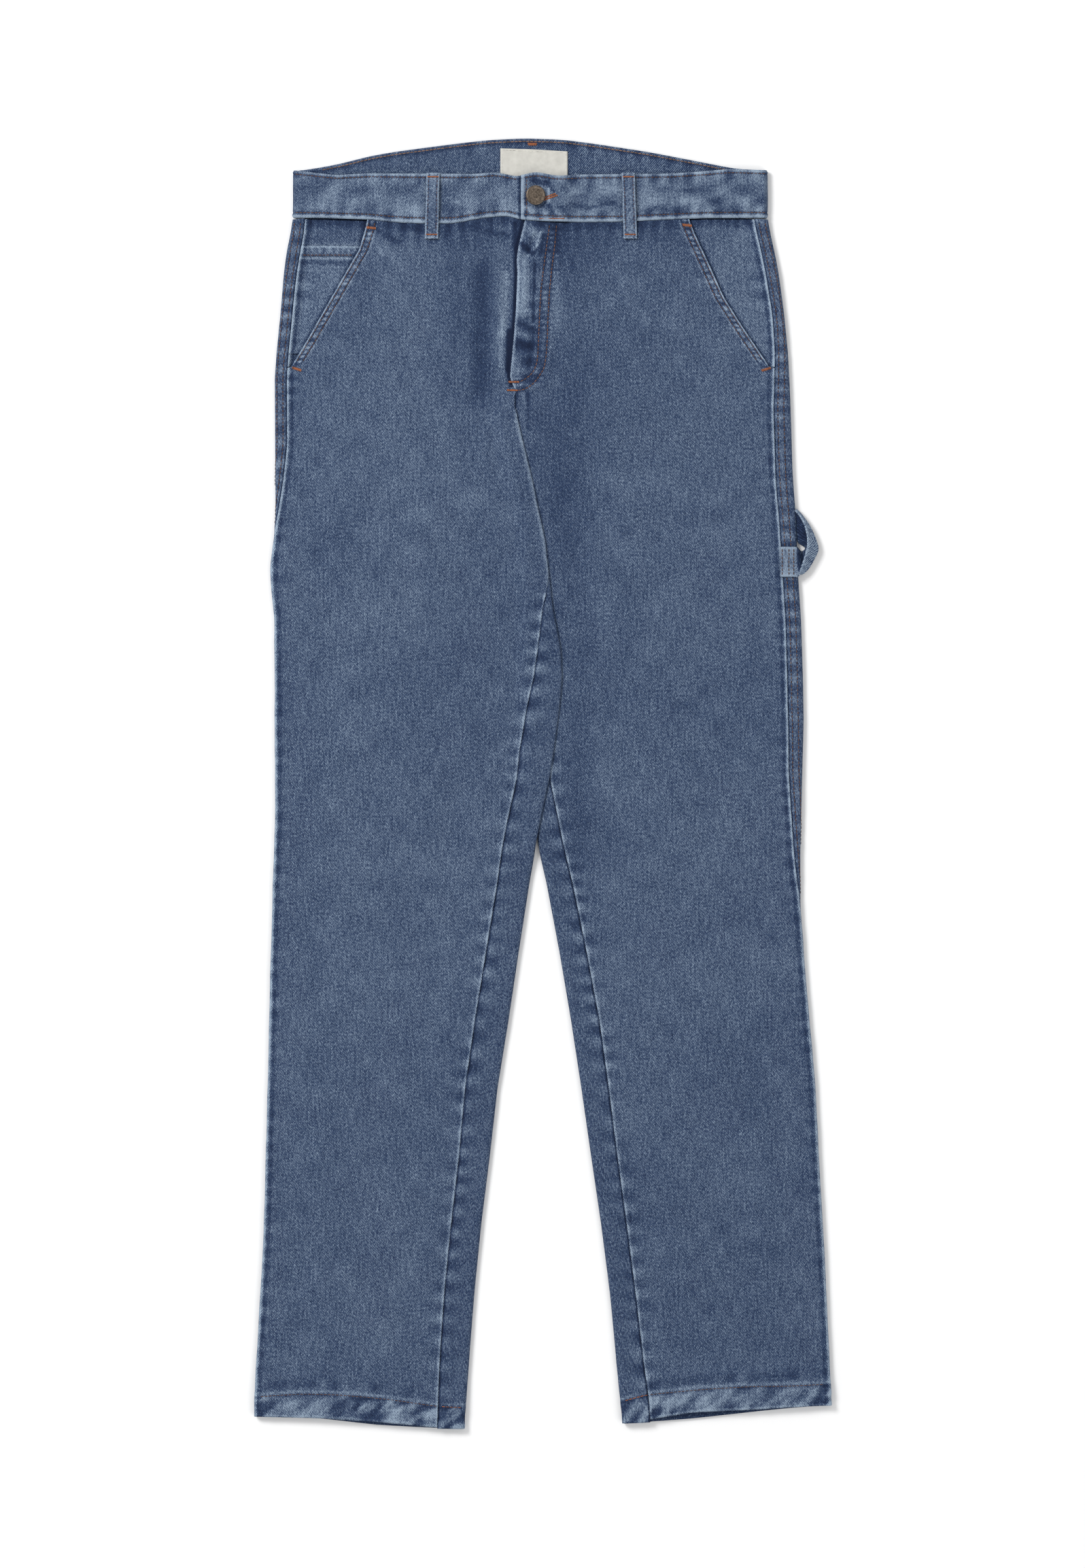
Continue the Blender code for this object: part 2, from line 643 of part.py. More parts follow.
def strap_points(row):
    """Five points across a row of the strap, through its crease."""
    low = (row.ax, row.ad, row.az)
    crease = (row.mx, row.md, row.mz)
    high = (row.bx, row.bd, row.bz)
    between = [tuple((p + q) / 2 for p, q in zip(low, crease))]
    between.append(tuple((p + q) / 2 for p, q in zip(crease, high)))
    return [low, between[0], crease, between[1], high]


def strap_normals(grid):
    """Outward directions of a grid, from the slopes along and across it."""
    normals = []
    rows, columns = len(grid), len(grid[0])
    for i in range(rows):
        line = []
        for j in range(columns):
            before, after = grid[max(i - 1, 0)][j], grid[min(i + 1, rows - 1)][j]
            low, high = grid[i][max(j - 1, 0)], grid[i][min(j + 1, columns - 1)]
            a = [q - p for p, q in zip(before, after)]
            b = [q - p for p, q in zip(low, high)]
            cross = (
                a[1] * b[2] - a[2] * b[1],
                a[2] * b[0] - a[0] * b[2],
                a[0] * b[1] - a[1] * b[0],
            )
            size = math.sqrt(sum(c * c for c in cross))
            line.append(tuple(c / size for c in cross))
        normals.append(line)
    return normals


def hammer_loop_object():
    """The strap: sewn flat over the side seam, then standing out loose."""
    grid = []
    for across in PATCH_COLUMNS:
        row = []
        for share in (0.0, 0.25, 0.5, 0.75, 1.0):
            down = PATCH_TOP + share * (PATCH_BOTTOM - PATCH_TOP)
            reach = across_reach(LEFT, down, across)
            x, z = on_tube(LEFT, down, reach, -SEWN_GAP - STRAP_CLOTH / 2, "back")
            row.append((x, down, z))
        grid.append(row)
    grid += [strap_points(row) for row in LOOSE_STRAP]
    normals = strap_normals(grid)
    half = STRAP_CLOTH / 2
    sides = []
    for sign in (1, -1):
        sides.append([
            [tuple(p + sign * half * n for p, n in zip(point, normal))
             for point, normal in zip(row, line)]
            for row, line in zip(grid, normals)
        ])
    return wall_object("hammer_loop", *sides, DENIM_SHADES["hammer_loop"])


def button_object():
    """A tack button: a neck and a domed disc, turned about its axis."""
    profile = [
        (0.0, 0.0), (3.0, 0.0), (3.0, 1.6), (BUTTON_RADIUS - 0.6, 2.3),
        (BUTTON_RADIUS, 3.0), (BUTTON_RADIUS - 0.5, 3.8), (5.2, 3.9), (4.4, 3.4),
        (0.0, 3.7),
    ]
    work = bmesh.new()
    line = [work.verts.new((radius * MM, 0.0, height * MM)) for radius, height in profile]
    edges = [work.edges.new(pair) for pair in zip(line, line[1:])]
    bmesh.ops.spin(
        work, geom=line + edges, axis=(0, 0, 1), cent=(0, 0, 0),
        steps=20, angle=math.tau, use_duplicate=False,
    )
    bmesh.ops.remove_doubles(work, verts=work.verts[:], dist=1e-6)
    bmesh.ops.recalc_face_normals(work, faces=work.faces[:])
    made = new_object("button", BUTTON_SHADE, roughness=0.42, metallic=0.9)
    work.to_mesh(made.data)
    work.free()
    base = band_height(BUTTON_ACROSS) + SEWN_GAP + 3.0 * math.sin(BUTTON_TILT)
    made.location = place(BUTTON_ACROSS, BUTTON_DOWN, base)
    made.rotation_euler = (0.0, BUTTON_TILT, 0.0)
    return made


def clear_scene():
    for old in list(bpy.data.objects):
        bpy.data.objects.remove(old, do_unlink=True)


def main():
    clear_scene()
    pieces = [
        panel_object("front_right", RIGHT, "front"),
        panel_object("front_left", LEFT, "front"),
        panel_object("back_right", RIGHT, "back"),
        panel_object("back_left", LEFT, "back"),
        pocket_layer(
            "pocket_facing_right", RIGHT, (70.2, 83, 97, 117, 145, 174, 186, 194),
            0.5, 16.0, 0.6, 2.95,
        ),
        pocket_layer(
            "pocket_facing_left", LEFT, (70.2, 83, 97, 117, 145, 174, 186, 194),
            0.5, 16.0, 0.2, 1.6,
        ),
        pocket_layer(
            "coin_pocket", RIGHT, (92.8, 97, 117, 145, 174, 186),
            0.5, 16.0, -0.8, 1.5,
        ),
        waistband_object(),
        belt_loop_object("belt_loop_right", -94.1, -95.5, RIGHT),
        belt_loop_object("belt_loop_left", 73.8, 75.6, LEFT),
        hammer_loop_object(),
        button_object(),
        label_object(),
    ]
    root = bpy.data.objects.new("pants", None)
    bpy.context.scene.collection.objects.link(root)
    for piece in pieces:
        piece.parent = root


main()
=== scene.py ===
"""Denim carpenter pants laid flat with the front up, dressed over their CAD frame.

Lengths in the tables are millimetres: "down" below the top of the back waistband,
"across" from the middle of the length, positive to the wearer's left.
"""

import logging
import math
from dataclasses import dataclass, field
from enum import Enum
from typing import NamedTuple, Sequence

import bmesh
import bpy
import numpy as np
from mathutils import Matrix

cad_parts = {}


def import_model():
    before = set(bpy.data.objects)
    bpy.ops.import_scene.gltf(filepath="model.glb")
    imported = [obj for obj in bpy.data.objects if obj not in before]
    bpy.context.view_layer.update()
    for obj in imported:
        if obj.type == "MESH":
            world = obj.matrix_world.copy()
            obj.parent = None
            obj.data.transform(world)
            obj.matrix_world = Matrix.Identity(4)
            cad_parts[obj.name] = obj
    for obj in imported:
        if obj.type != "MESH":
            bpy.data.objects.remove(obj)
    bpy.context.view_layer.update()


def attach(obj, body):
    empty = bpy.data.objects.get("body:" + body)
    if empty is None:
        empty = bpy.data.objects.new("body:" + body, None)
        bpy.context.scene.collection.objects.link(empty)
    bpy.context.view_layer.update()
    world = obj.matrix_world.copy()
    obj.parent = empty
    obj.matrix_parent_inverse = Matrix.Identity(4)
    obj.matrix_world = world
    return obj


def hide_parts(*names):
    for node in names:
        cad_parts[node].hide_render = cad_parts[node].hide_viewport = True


LOG = logging.getLogger("carpenter_pants")

MM = 0.001
HALF_LENGTH = 555.55

# Thickness of the cloth, and the gaps between pieces that are sewn or lie together.
CLOTH = 1.2
HEM_CLOTH = 2.4
SEWN_GAP = 0.3
SEAM_GAP = 0.03
LAY_GAP = 0.35

# A leg's folds, and how much it swells between them.
FOLD_RADIUS = 3.2
CROWN = 0.6

# Rows of a panel: its first and last, and where they bend to the waist and the hem.
TOP_ROW = 69.4
TOP_BLEND = 150.0
HEM_BLEND = 1040.0
HEM_ROW = 1100.0

# The fly's lap fades out between these, and the backs are open down to this row.
LAP_START = -3.5
LAP_END = 15.0
LAST_OPEN_BACK = 306.0

# Rows of stitching: from the pocket mouth, the side seam and the waistband's top.
MOUTH_ROWS = (2.1, 7.3)
SIDE_ROWS = (3.4, 8.6)
BAND_ROWS = (3.2, 36.4)
ROW_WIDTH = 1.1

# The pale welt of a turned edge.
WELT_PLACE = 0.9
WELT_WIDTH = 1.9

# The twill: lean of its ribs from the lengthwise thread, in degrees, and pitch in metres.
TWILL_LEAN = 33.0
TWILL_PITCH = 0.00118

# The view: length of the frame and its middle, in mm.
VIEW_LENGTH = 1351.316
VIEW_CENTRE = 556.114

Array = np.ndarray
Form = tuple[Array, Array]


class Panel(Enum):
    """Which cloth of a leg a point is on."""

    FRONT = "front"
    BACK = "back"


class Thread(Enum):
    """Sewing threads: name and linear colour."""

    TOPSTITCH = (0.068, 0.035, 0.027)
    FLY = (0.105, 0.050, 0.033)
    BARTACK = (0.240, 0.080, 0.032)
    TAN = (0.150, 0.090, 0.062)
    CREAM = (0.520, 0.500, 0.450)


class Crease(NamedTuple):
    """A soft trough (height below zero) or ridge along a line."""

    down0: float
    across0: float
    down1: float
    across1: float
    width: float
    height: float


class WashAndShading(NamedTuple):
    """A patch lighter or darker than the cloth: wash fading, or painted shade and highlight on a
    fold.
    """

    across: float
    down: float
    reach_across: float
    reach_down: float
    amount: float


class Stroke(NamedTuple):
    """A pale or dark line along a fold: painted highlight on a ridge, painted shade or shadow in a
    hollow, or a place rubbed pale by wear.
    """

    down0: float
    across0: float
    down1: float
    across1: float
    width: float
    amount: float


class Profile:
    """A table's value as a smooth function of its first column."""

    def __init__(self, rows: Sequence[Sequence[float]], blur: float = 7.0) -> None:
        """

        Args:
            rows: (key, value) pairs, rising.
            blur: rounding, in mm.
        """
        keys = np.array([row[0] for row in rows], float)
        values = np.array([row[1] for row in rows], float)
        fine = np.arange(keys[0] - 30, keys[-1] + 31, 1.0)
        line = np.interp(fine, keys, values)
        if blur:
            steps = np.arange(-2 * int(blur), 2 * int(blur) + 1)
            weight = np.exp(-((steps / blur) ** 2))
            padded = np.pad(line, len(steps) // 2, mode="edge")
            line = np.convolve(padded, weight / weight.sum(), mode="valid")
        self.keys, self.values = fine, line

    def __call__(self, key: Array) -> Array:
        """The value at each key."""
        return np.interp(key, self.keys, self.values)


RIGHT_OUTER = Profile([
    (69, -215.1), (83, -217.4), (97, -220.3), (115, -222.7), (150, -225.6),
    (185, -229.1), (206, -230.6), (326, -230.0), (346, -231.5), (370, -234.2),
    (389, -233.2), (413, -230.8), (590, -230.0), (642, -232.1), (730, -234.4),
    (818, -236.7), (935, -239.7), (994, -242.6), (1064, -247.3), (1111, -248.2),
], 4)
LEFT_OUTER = Profile([
    (69, 194.0), (83, 196.6), (97, 199.8), (115, 203.3), (150, 208.0), (185, 211.5),
    (220, 213.3), (291, 215.6), (326, 218.3), (379, 220.3), (414, 222.7), (466, 224.4),
    (502, 225.0), (554, 223.6), (613, 222.1), (660, 222.1), (701, 225.0), (760, 229.7),
    (818, 235.0), (877, 237.9), (994, 244.4), (1053, 247.1), (1111, 248.2),
])
RIGHT_SIDE_SEAM = Profile([
    (69, 10.8), (92, 12.1), (112, 11.6), (137, 10.6), (266, 10.4), (298, 6.5),
    (321, 2.7), (333, 0.9), (350, 0.0),
])
LEFT_SIDE_SEAM = Profile([
    (69, 12.0), (122, 11.2), (152, 10.2), (182, 11.2), (212, 13.2), (232, 14.7),
    (311, 15.0), (380, 13.3), (493, 13.6), (546, 11.8), (585, 8.3), (629, 4.1),
    (652, 0.8), (672, 0.0),
])
RIGHT_POCKET = Profile([
    (69, -150.6), (80, -153.2), (96, -158.0), (119, -171.1), (145, -185.9),
    (174, -202.4), (197, -216.4),
], 3)
LEFT_POCKET = Profile([
    (69, 126.0), (83, 131.3), (103, 140.6), (138, 156.5), (166, 174.3), (197, 195.3),
], 3)
POCKET_END = 197.0

# Rows of the inner fold: down, fold, length of cloth from its top to the inseam.
RIGHT_INNER_ROWS = [
    (69, -1.8, 0), (213, -1.8, 0), (218, -20.4, 0), (222, -20.6, 0),
    (231, -21.0, 0), (241, -21.5, -4.7), (263, -16.5, -5.5), (290, -10.0, -6.5),
    (300, -7.6, -7.0), (306, -6.2, -7.0), (316, -4.0, -7.5), (331, -0.8, -7.5),
    (348, 2.9, -7.5), (375, 5.6, -4.7), (390, 7.4, 0.5), (406, 9.0, 5.6),
    (439, 15.6, 16.2), (464, 16.9, 21.0), (487, 15.1, 24.6), (526, 10.0, 26.2),
    (551, 6.2, 25.0), (571, 1.5, 24.6), (588, -1.9, 25.0), (605, -5.2, 25.0),
    (620, -7.4, 25.2), (642, -11.3, 24.4), (701, -20.5, 24.8), (760, -29.3, 25.6),
    (818, -38.7, 24.6), (877, -45.4, 23.2), (935, -52.7, 22.6), (994, -58.6, 22.6),
    (1053, -63.3, 22.0), (1111, -68.4, 19.4),
]
LEFT_INNER_ROWS = [
    (69, -18.4, 0), (83, -21.7, 0), (93, -24.0, 0), (105, -25.5, 0), (117, -24.9, 0),
    (147, -26.1, 0), (177, -28.4, 0), (206, -31.3, 0), (211, -29.5, 0),
    (217, -26.8, 0), (222, -26.8, 0), (231, -33.0, 0), (241, -33.5, 0),
    (263, -28.0, 0), (290, -20.5, 0), (300, -18.0, 0), (306, -16.8, 0),
    (316, -13.4, -4.7), (331, -8.8, -4.2), (379, -8.5, -1.8), (437, -8.5, 1.2),
    (496, -8.2, 5.8), (554, -7.0, 10.7), (605, -4.4, 18.4), (620, -1.6, 19.0),
    (642, 3.5, 19.2), (701, 14.6, 20.2), (760, 24.6, 21.2), (818, 33.4, 20.4),
    (877, 41.9, 19.4), (935, 50.4, 18.8), (994, 58.0, 18.8), (1053, 63.6, 20.2),
    (1082, 66.8, 21.4), (1111, 70.6, 19.8),
]
RIGHT_BACK_EDGE = Profile([(69, -9.1), (290, -9.1), (300, -26.0), (306, -20.5)], 0)
LEFT_BACK_EDGE = Profile([(69, -8.6), (300, -8.6), (306, -10.5)], 0)

FRONT_RISE = Profile([(217, 0), (222, 1), (605, 1), (620, 0.3), (642, 0)], 0)
BACK_RISE = Profile([(300, 0), (306, 1), (605, 1), (620, 0.3), (642, 0)], 0)
OVERLAP_ROOM = Profile([
    (217, 0), (222, 1.0), (231, 1.2), (241, 1.6), (263, 1.8), (290, 2.0), (300, 2.1),
    (588, 2.1), (605, 2.6), (620, 4.1), (642, 5.4),
], 4)
FLY_LAP = Profile([(214, 1.0), (219, 0.0)], 0)
HEIGHTS = Profile([(69, 5.8), (240, 5.7), (300, 5.4), (1060, 5.4), (1080, 6.8)], 0)

FRONT_TOP = Profile([
    (-215, 69.1), (-191, 68.9), (-151, 70.3), (-125, 73.0), (-100, 74.1), (-76, 73.8),
    (-51, 68.9), (-30, 67.1), (-18, 70.9), (2, 72.1), (32, 72.7), (69, 72.4),
    (111, 70.3), (141, 69.1), (194, 69.1),
], 5)
BAND_TOP = Profile([
    (-215, 27.9), (-178, 32.2), (-150, 30.5), (-59, 31.1), (-40, 29.6), (-22, 33.4),
    (-6, 29.6), (13, 33.2), (32, 31.6), (111, 30.8), (141, 28.7), (162, 26.7),
    (194, 27.9),
], 4)
BACK_TOP = Profile([
    (-211, 28.1), (-195, 25.8), (-176, 22.3), (-148, 15.2), (-128, 11.7),
    (-102, 8.2), (-75, 4.7), (-47, 1.5), (-15, 0.0), (18, 1.2), (45, 4.7),
    (91, 11.7), (128, 18.8), (164, 25.8), (190, 28.1),
], 8)
FRONT_HEM = Profile([
    (-248, 1100.5), (-193, 1101.7), (-142, 1104.9), (-93, 1109.6), (-68, 1111.1),
    (66, 1106.2), (94, 1102.6), (129, 1096.6), (183, 1094.3), (209, 1092.5),
    (248, 1090.8),
])
BACK_HEM = Profile([
    (-248, 1100.5), (-219, 1100.7), (-193, 1102.3), (-142, 1108.1), (-91, 1110.8),
    (-68, 1111.1), (66, 1106.6), (89, 1105.6), (129, 1102.6), (183, 1096.6),
    (209, 1093.9), (248, 1090.8),
])
HEM_STITCH = Profile([
    (-248, 1083.4), (-206, 1080.8), (-180, 1081.4), (-155, 1083.3), (-129, 1085.9),
    (-104, 1089.7), (-91, 1091.5), (-68, 1092.6), (66, 1088.2), (88, 1081.8),
    (129, 1077.7), (156, 1075.7), (183, 1074.4), (209, 1074.2), (248, 1072.4),
])
FLY_STITCH_OUTER = [
    (12.1, 75), (10.5, 93), (8.2, 111), (6.1, 132), (4.7, 155), (3.9, 177),
    (1.8, 196), (-2.2, 204), (-8.0, 211.5), (-16.0, 216.5), (-26.5, 217.6),
]
FLY_STITCH_INNER = [
    (6.1, 75), (2.3, 102), (-1.3, 132), (-2.9, 162), (-4.3, 189), (-7.0, 199.5),
    (-12.0, 205.5), (-20.0, 210.2), (-27.5, 210.6),
]

CREASES = [
    Crease(96, -50, 250, -54, 14, -1.2), Crease(105, -39, 212, -36, 9, 1.1),
    Crease(225, -44, 300, -36, 10, -0.8), Crease(250, 30, 330, 55, 16, -0.8),
    Crease(330, -120, 470, -40, 18, 0.7), Crease(520, -60, 640, -90, 16, -0.7),
    Crease(560, 60, 690, 110, 18, 0.7), Crease(760, -150, 900, -120, 20, -0.6),
    Crease(700, 150, 860, 180, 20, -0.6), Crease(900, 110, 1040, 130, 18, 0.6),
    Crease(76, -2, 106, -15, 5, -1.1), Crease(76, -9, 101, -19, 5, 0.9),
    Crease(80, 8, 130, -1, 6, -0.5), Crease(98, -14, 160, -18, 6, 0.5),
    Crease(155, -23, 192, -21, 6, -0.6), Crease(88, -170, 150, -120, 12, -0.5),
    Crease(300, -8, 420, -30, 14, 0.5), Crease(270, 22, 420, 38, 18, -0.6),
    Crease(120, 170, 210, 140, 12, 0.4),
]
# Broad pale patches are wash fading; the dark ones just below the waistband, in the hollows by the
# fly and at the crotch are painted shade and shadow; the narrow pale ones by the fly are painted
# highlights on folds.
WASH_AND_SHADING_PATCHES = [
    WashAndShading(-115, 330, 70, 170, 0.05), WashAndShading(110, 330, 60, 150, 0.02),
    WashAndShading(-140, 650, 60, 160, 0.05), WashAndShading(130, 660, 60, 150, 0.02),
    WashAndShading(-60, 170, 26, 80, -0.16), WashAndShading(18, 95, 30, 24, -0.16),
    WashAndShading(20, 300, 22, 110, -0.14), WashAndShading(-16, 186, 8, 15, -0.30),
    WashAndShading(-16, 132, 8, 32, 0.22), WashAndShading(-36, 150, 8, 50, 0.14),
    WashAndShading(-100, 84, 60, 9, -0.12), WashAndShading(90, 84, 60, 9, -0.14),
    WashAndShading(10, 150, 9, 22, 0.10), WashAndShading(-190, 900, 40, 120, 0.05),
    WashAndShading(190, 130, 14, 60, -0.05), WashAndShading(30, 560, 14, 90, -0.14),
]

# Painted highlights and shade on the left front's folds about the fly, and rubbed places.
LEFT_STROKES = [
    Stroke(104, -15.5, 150, -17.0, 7.5, 0.27), Stroke(106, -6.8, 158, -8.0, 1.9, -0.50),
    Stroke(103, -11.0, 146, -10.4, 1.4, -0.22), Stroke(160, -19.5, 163, -12.0, 5.5, -0.50),
    Stroke(177, -20.5, 180, -12.0, 6.5, -0.62), Stroke(169, -21.0, 169, -14.0, 2.4, 0.25),
    Stroke(190, -22.0, 203, -22.0, 6.0, 0.30), Stroke(165, -6.5, 203, -12.0, 4.5, -0.36),
    Stroke(76, -12.0, 85, -6.0, 7.0, 0.42), Stroke(92, -17.5, 99, -9.5, 4.4, -0.80),
    Stroke(81, -1.5, 93, -5.0, 2.0, 0.55), Stroke(93, -5.0, 102, -12.5, 2.0, 0.55),
    Stroke(84, 2.0, 100, -1.5, 3.4, -0.42), Stroke(78, 14.0, 97, 13.0, 5.5, -0.34),
    Stroke(118, 12.0, 150, 13.0, 5.0, 0.20), Stroke(112, 1.0, 130, -3.0, 2.5, 0.25),
    Stroke(219, -22.0, 238, -25.0, 2.6, -0.50), Stroke(219, -17.0, 232, -14.0, 2.2, 0.28),
    Stroke(219, -13.0, 250, -12.0, 3.0, -0.34), Stroke(240, -22.0, 262, -18.0, 3.0, -0.20),
    Stroke(76, 9.0, 100, 6.0, 3.6, -0.26), Stroke(150, 0.5, 205, -3.0, 3.2, -0.24),
    Stroke(205, -6.0, 214, -16.0, 3.6, -0.34),
]
# The same of the right front: painted shadow in the gap under the fly's edge and just below the
# waistband, painted highlights and shade on the folds beside the fly, and whiskers by the pocket.
RIGHT_STROKES = [
    Stroke(166, -28.6, 200, -29.6, 3.4, -1.10), Stroke(74, -24.0, 96, -22.5, 4.2, -0.70),
    Stroke(118, -31.5, 168, -34.5, 6.5, 0.30), Stroke(168, -35.5, 206, -36.0, 4.5, 0.22),
    Stroke(112, -50.0, 215, -53.0, 13.0, -0.20), Stroke(100, -66.0, 200, -66.0, 9.0, 0.08),
    Stroke(78, -60.0, 84, -30.0, 5.0, -0.28), Stroke(84, -148.0, 100, -138.0, 3.5, 0.26),
    Stroke(80, -142.0, 90, -124.0, 4.0, -0.30), Stroke(92, -136.0, 112, -122.0, 5.0, 0.16),
    Stroke(76, -118.0, 84, -84.0, 5.0, -0.20), Stroke(640, -30.0, 700, -38.0, 7.0, -0.16),
]

# The waistband's puckers about the button: painted highlight on their ridges, painted shade in
# their hollows.
BAND_STROKES = [
    Stroke(37, -8, 40, 2, 4.0, -0.50), Stroke(38, 4, 46, 9, 3.0, -0.35),
    Stroke(60, -14, 64, -8, 3.6, 0.42), Stroke(52, -14, 58, -14, 2.2, -0.30),
    Stroke(44, 5, 56, 5, 2.0, 0.60), Stroke(56, 4, 66, 8, 2.4, -0.42),
    Stroke(58, 9, 66, 13, 2.4, 0.32), Stroke(60, 16, 66, 20, 2.0, -0.26),
    Stroke(40, 14, 47, 22, 3.0, -0.26), Stroke(48, 24, 46, 36, 2.6, 0.22),
    Stroke(56, 24, 62, 40, 3.0, -0.24), Stroke(38, -13, 44, -14, 2.0, 0.35),
    Stroke(62, -2, 66, 2, 2.4, 0.28), Stroke(60, 40, 56, 62, 3.0, -0.30),
    Stroke(60, 96, 64, 122, 3.0, -0.26), Stroke(44, 100, 46, 130, 3.0, -0.20),
]


def hashed(column: Array, row: Array, seed: float) -> Array:
    """Repeatable noise from 0 to 1 at whole-number places."""
    raw = np.sin(column * 127.1 + row * 311.7 + seed * 74.7) * 43758.5453
    return raw - np.floor(raw)


def noise(across: Array, down: Array, size: float, seed: float) -> Array:
    """Smooth noise from -1 to 1 with features of one size, in mm.

    Args:
        across: places across, in mm.
        down: distances down, in mm.
        size: size of a feature, in mm.
        seed: picks one pattern of many.

    Returns:
        Noise from -1 to 1.
    """
    x, y = np.asarray(across) / size, np.asarray(down) / size
    x0, y0 = np.floor(x), np.floor(y)
    u, v = x - x0, y - y0
    u, v = u * u * (3 - 2 * u), v * v * (3 - 2 * v)
    low = hashed(x0, y0, seed) * (1 - u) + hashed(x0 + 1, y0, seed) * u
    high = hashed(x0, y0 + 1, seed) * (1 - u) + hashed(x0 + 1, y0 + 1, seed) * u
    return 2 * (low * (1 - v) + high * v) - 1


def ease(value: Array) -> Array:
    """Smooth step from 0 to 1."""
    value = np.clip(value, 0.0, 1.0)
    return value * value * (3 - 2 * value)


def bump(value: Array) -> Array:
    """A smooth hump: 1 at 0, 0 beyond 1 either side."""
    return ease(1 - np.abs(value))


def puckers(along: Array, away: Array, pitch: float, reach: float, seed: float) -> Array:
    """Small uneven folds across a seam, from -1 to 1, fading away from it.

    Args:
        along: place along the seam, in mm.
        away: distance from the seam, in mm.
        pitch: length of one fold.
        reach: how far from the seam they fade.
        seed: picks one pattern of many.

    Returns:
        Folds from -1 to 1.
    """
    along = along + 0 * away
    phase = 1.4 * noise(along, away * 0, pitch * 2.7, seed)
    wave = np.sin(2 * math.pi * along / pitch + 2.2 * phase)
    strength = 0.65 + 0.45 * noise(along, away * 0, pitch * 1.9, seed + 3)
    return wave * strength * np.exp(-((away / reach) ** 2))


@dataclass(frozen=True)
class Leg:
    """The lines of one leg, seen from above.

    Attributes:
        name: right or left.
        out: direction from its inner fold to its outer one, 1 or -1 across.
        outer, fold: place across of its outer and inner fold.
        side_seam: how far the side seam lies inside the outer fold.
        pocket: place across of the pocket mouth.
        seam: length of cloth from the inner fold's top to the inseam.
        back_edge: where the back panel ends while it is open.
        seed: picks the patterns of its puckers.
    """

    name: str
    out: int
    outer: Profile
    side_seam: Profile
    pocket: Profile
    fold: Profile
    seam: Profile
    back_edge: Profile
    seed: int

    def seam_across(self, down: Array) -> Array:
        """Place of the side seam."""
        return self.outer(down) - self.out * self.side_seam(down)

    def inseam_across(self, down: Array) -> Array:
        """Place of the inseam while it is on top."""
        return self.fold(down) + self.out * (FOLD_RADIUS + self.seam(down))


def columns_of(rows: Sequence[Sequence[float]], column: int, blur: float) -> Profile:
    """One column of an inner-fold table, with the first column as its key."""
    return Profile([(row[0], row[column]) for row in rows], blur)


RIGHT = Leg("right", -1, RIGHT_OUTER, RIGHT_SIDE_SEAM, RIGHT_POCKET,
            columns_of(RIGHT_INNER_ROWS, 1, 2), columns_of(RIGHT_INNER_ROWS, 2, 2),
            RIGHT_BACK_EDGE, 5)
LEFT = Leg("left", 1, LEFT_OUTER, LEFT_SIDE_SEAM, LEFT_POCKET,
           columns_of(LEFT_INNER_ROWS, 1, 2), columns_of(LEFT_INNER_ROWS, 2, 2),
           LEFT_BACK_EDGE, 25)


def crease_height(across: Array, down: Array) -> Array:
    """Relief of the named creases.

    Args:
        across: places across, in mm.
        down: distances down.

    Returns:
        Height at each point, in mm.
    """
    total = np.zeros(np.broadcast(across, down).shape)
    for crease in CREASES:
        run_down = crease.down1 - crease.down0
        run_across = crease.across1 - crease.across0
        length = math.hypot(run_down, run_across)
        along = (down - crease.down0) * run_down + (across - crease.across0) * run_across
        along = np.clip(along / length**2, 0, 1)
        off = (across - crease.across0) * run_down - (down - crease.down0) * run_across
        off = off / (length * crease.width)
        total += crease.height * bump(off) * np.sin(math.pi * along)
    return total


def crown(leg: Leg, across: Array, down: Array) -> Array:
    """How much the top of a leg swells between its folds.

    Args:
        leg: the leg.
        across: places across, in mm.
        down: distances down.

    Returns:
        Height at each point, in mm.
    """
    inner, outer = leg.fold(down), leg.outer(down)
    share = np.clip((across - inner) / (outer - inner), 0, 1)
    return CROWN * np.sin(math.pi * share) ** 2


def lift_share(across: Array, down: Array) -> Array:
    """How much of the rise over the left leg a point of the right leg has."""
    return ease((across - LEFT.fold(down) + 16) / 13)


def heights(leg: Leg, across: Array, down: Array, panel: Panel) -> tuple[Array, Array]:
    """Bottom and top of a leg's cloth.

    Args:
        leg: the leg.
        across: places across, in mm.
        down: distances down.
        panel: the cloth that the points are on.

    Returns:
        Both heights, in mm.
    """
    plain = HEIGHTS(down)
    relief = crease_height(across, down) + crown(leg, across, down)
    if leg is LEFT:
        over_fly = ease((LAP_END - across) / (LAP_END - LAP_START)) * FLY_LAP(down)
        return plain * 0, plain + relief + over_fly * (CLOTH + SEWN_GAP)
    lift = lift_share(across, down)
    rise = (FRONT_RISE if panel is Panel.FRONT else BACK_RISE)(down)
    bottom = rise * lift * (plain + LAY_GAP)
    share = FRONT_RISE(down) * lift
    top = plain + share * (LAY_GAP + OVERLAP_ROOM(down)) + relief
    return bottom, top


def bulge(angle: Array, square_from: float) -> Array:
    """How far a fold stands out at an angle from its top: squarer below its middle."""
    plain = np.sin(angle)
    return np.where(angle > square_from, np.sqrt(np.maximum(plain, 0)), plain)


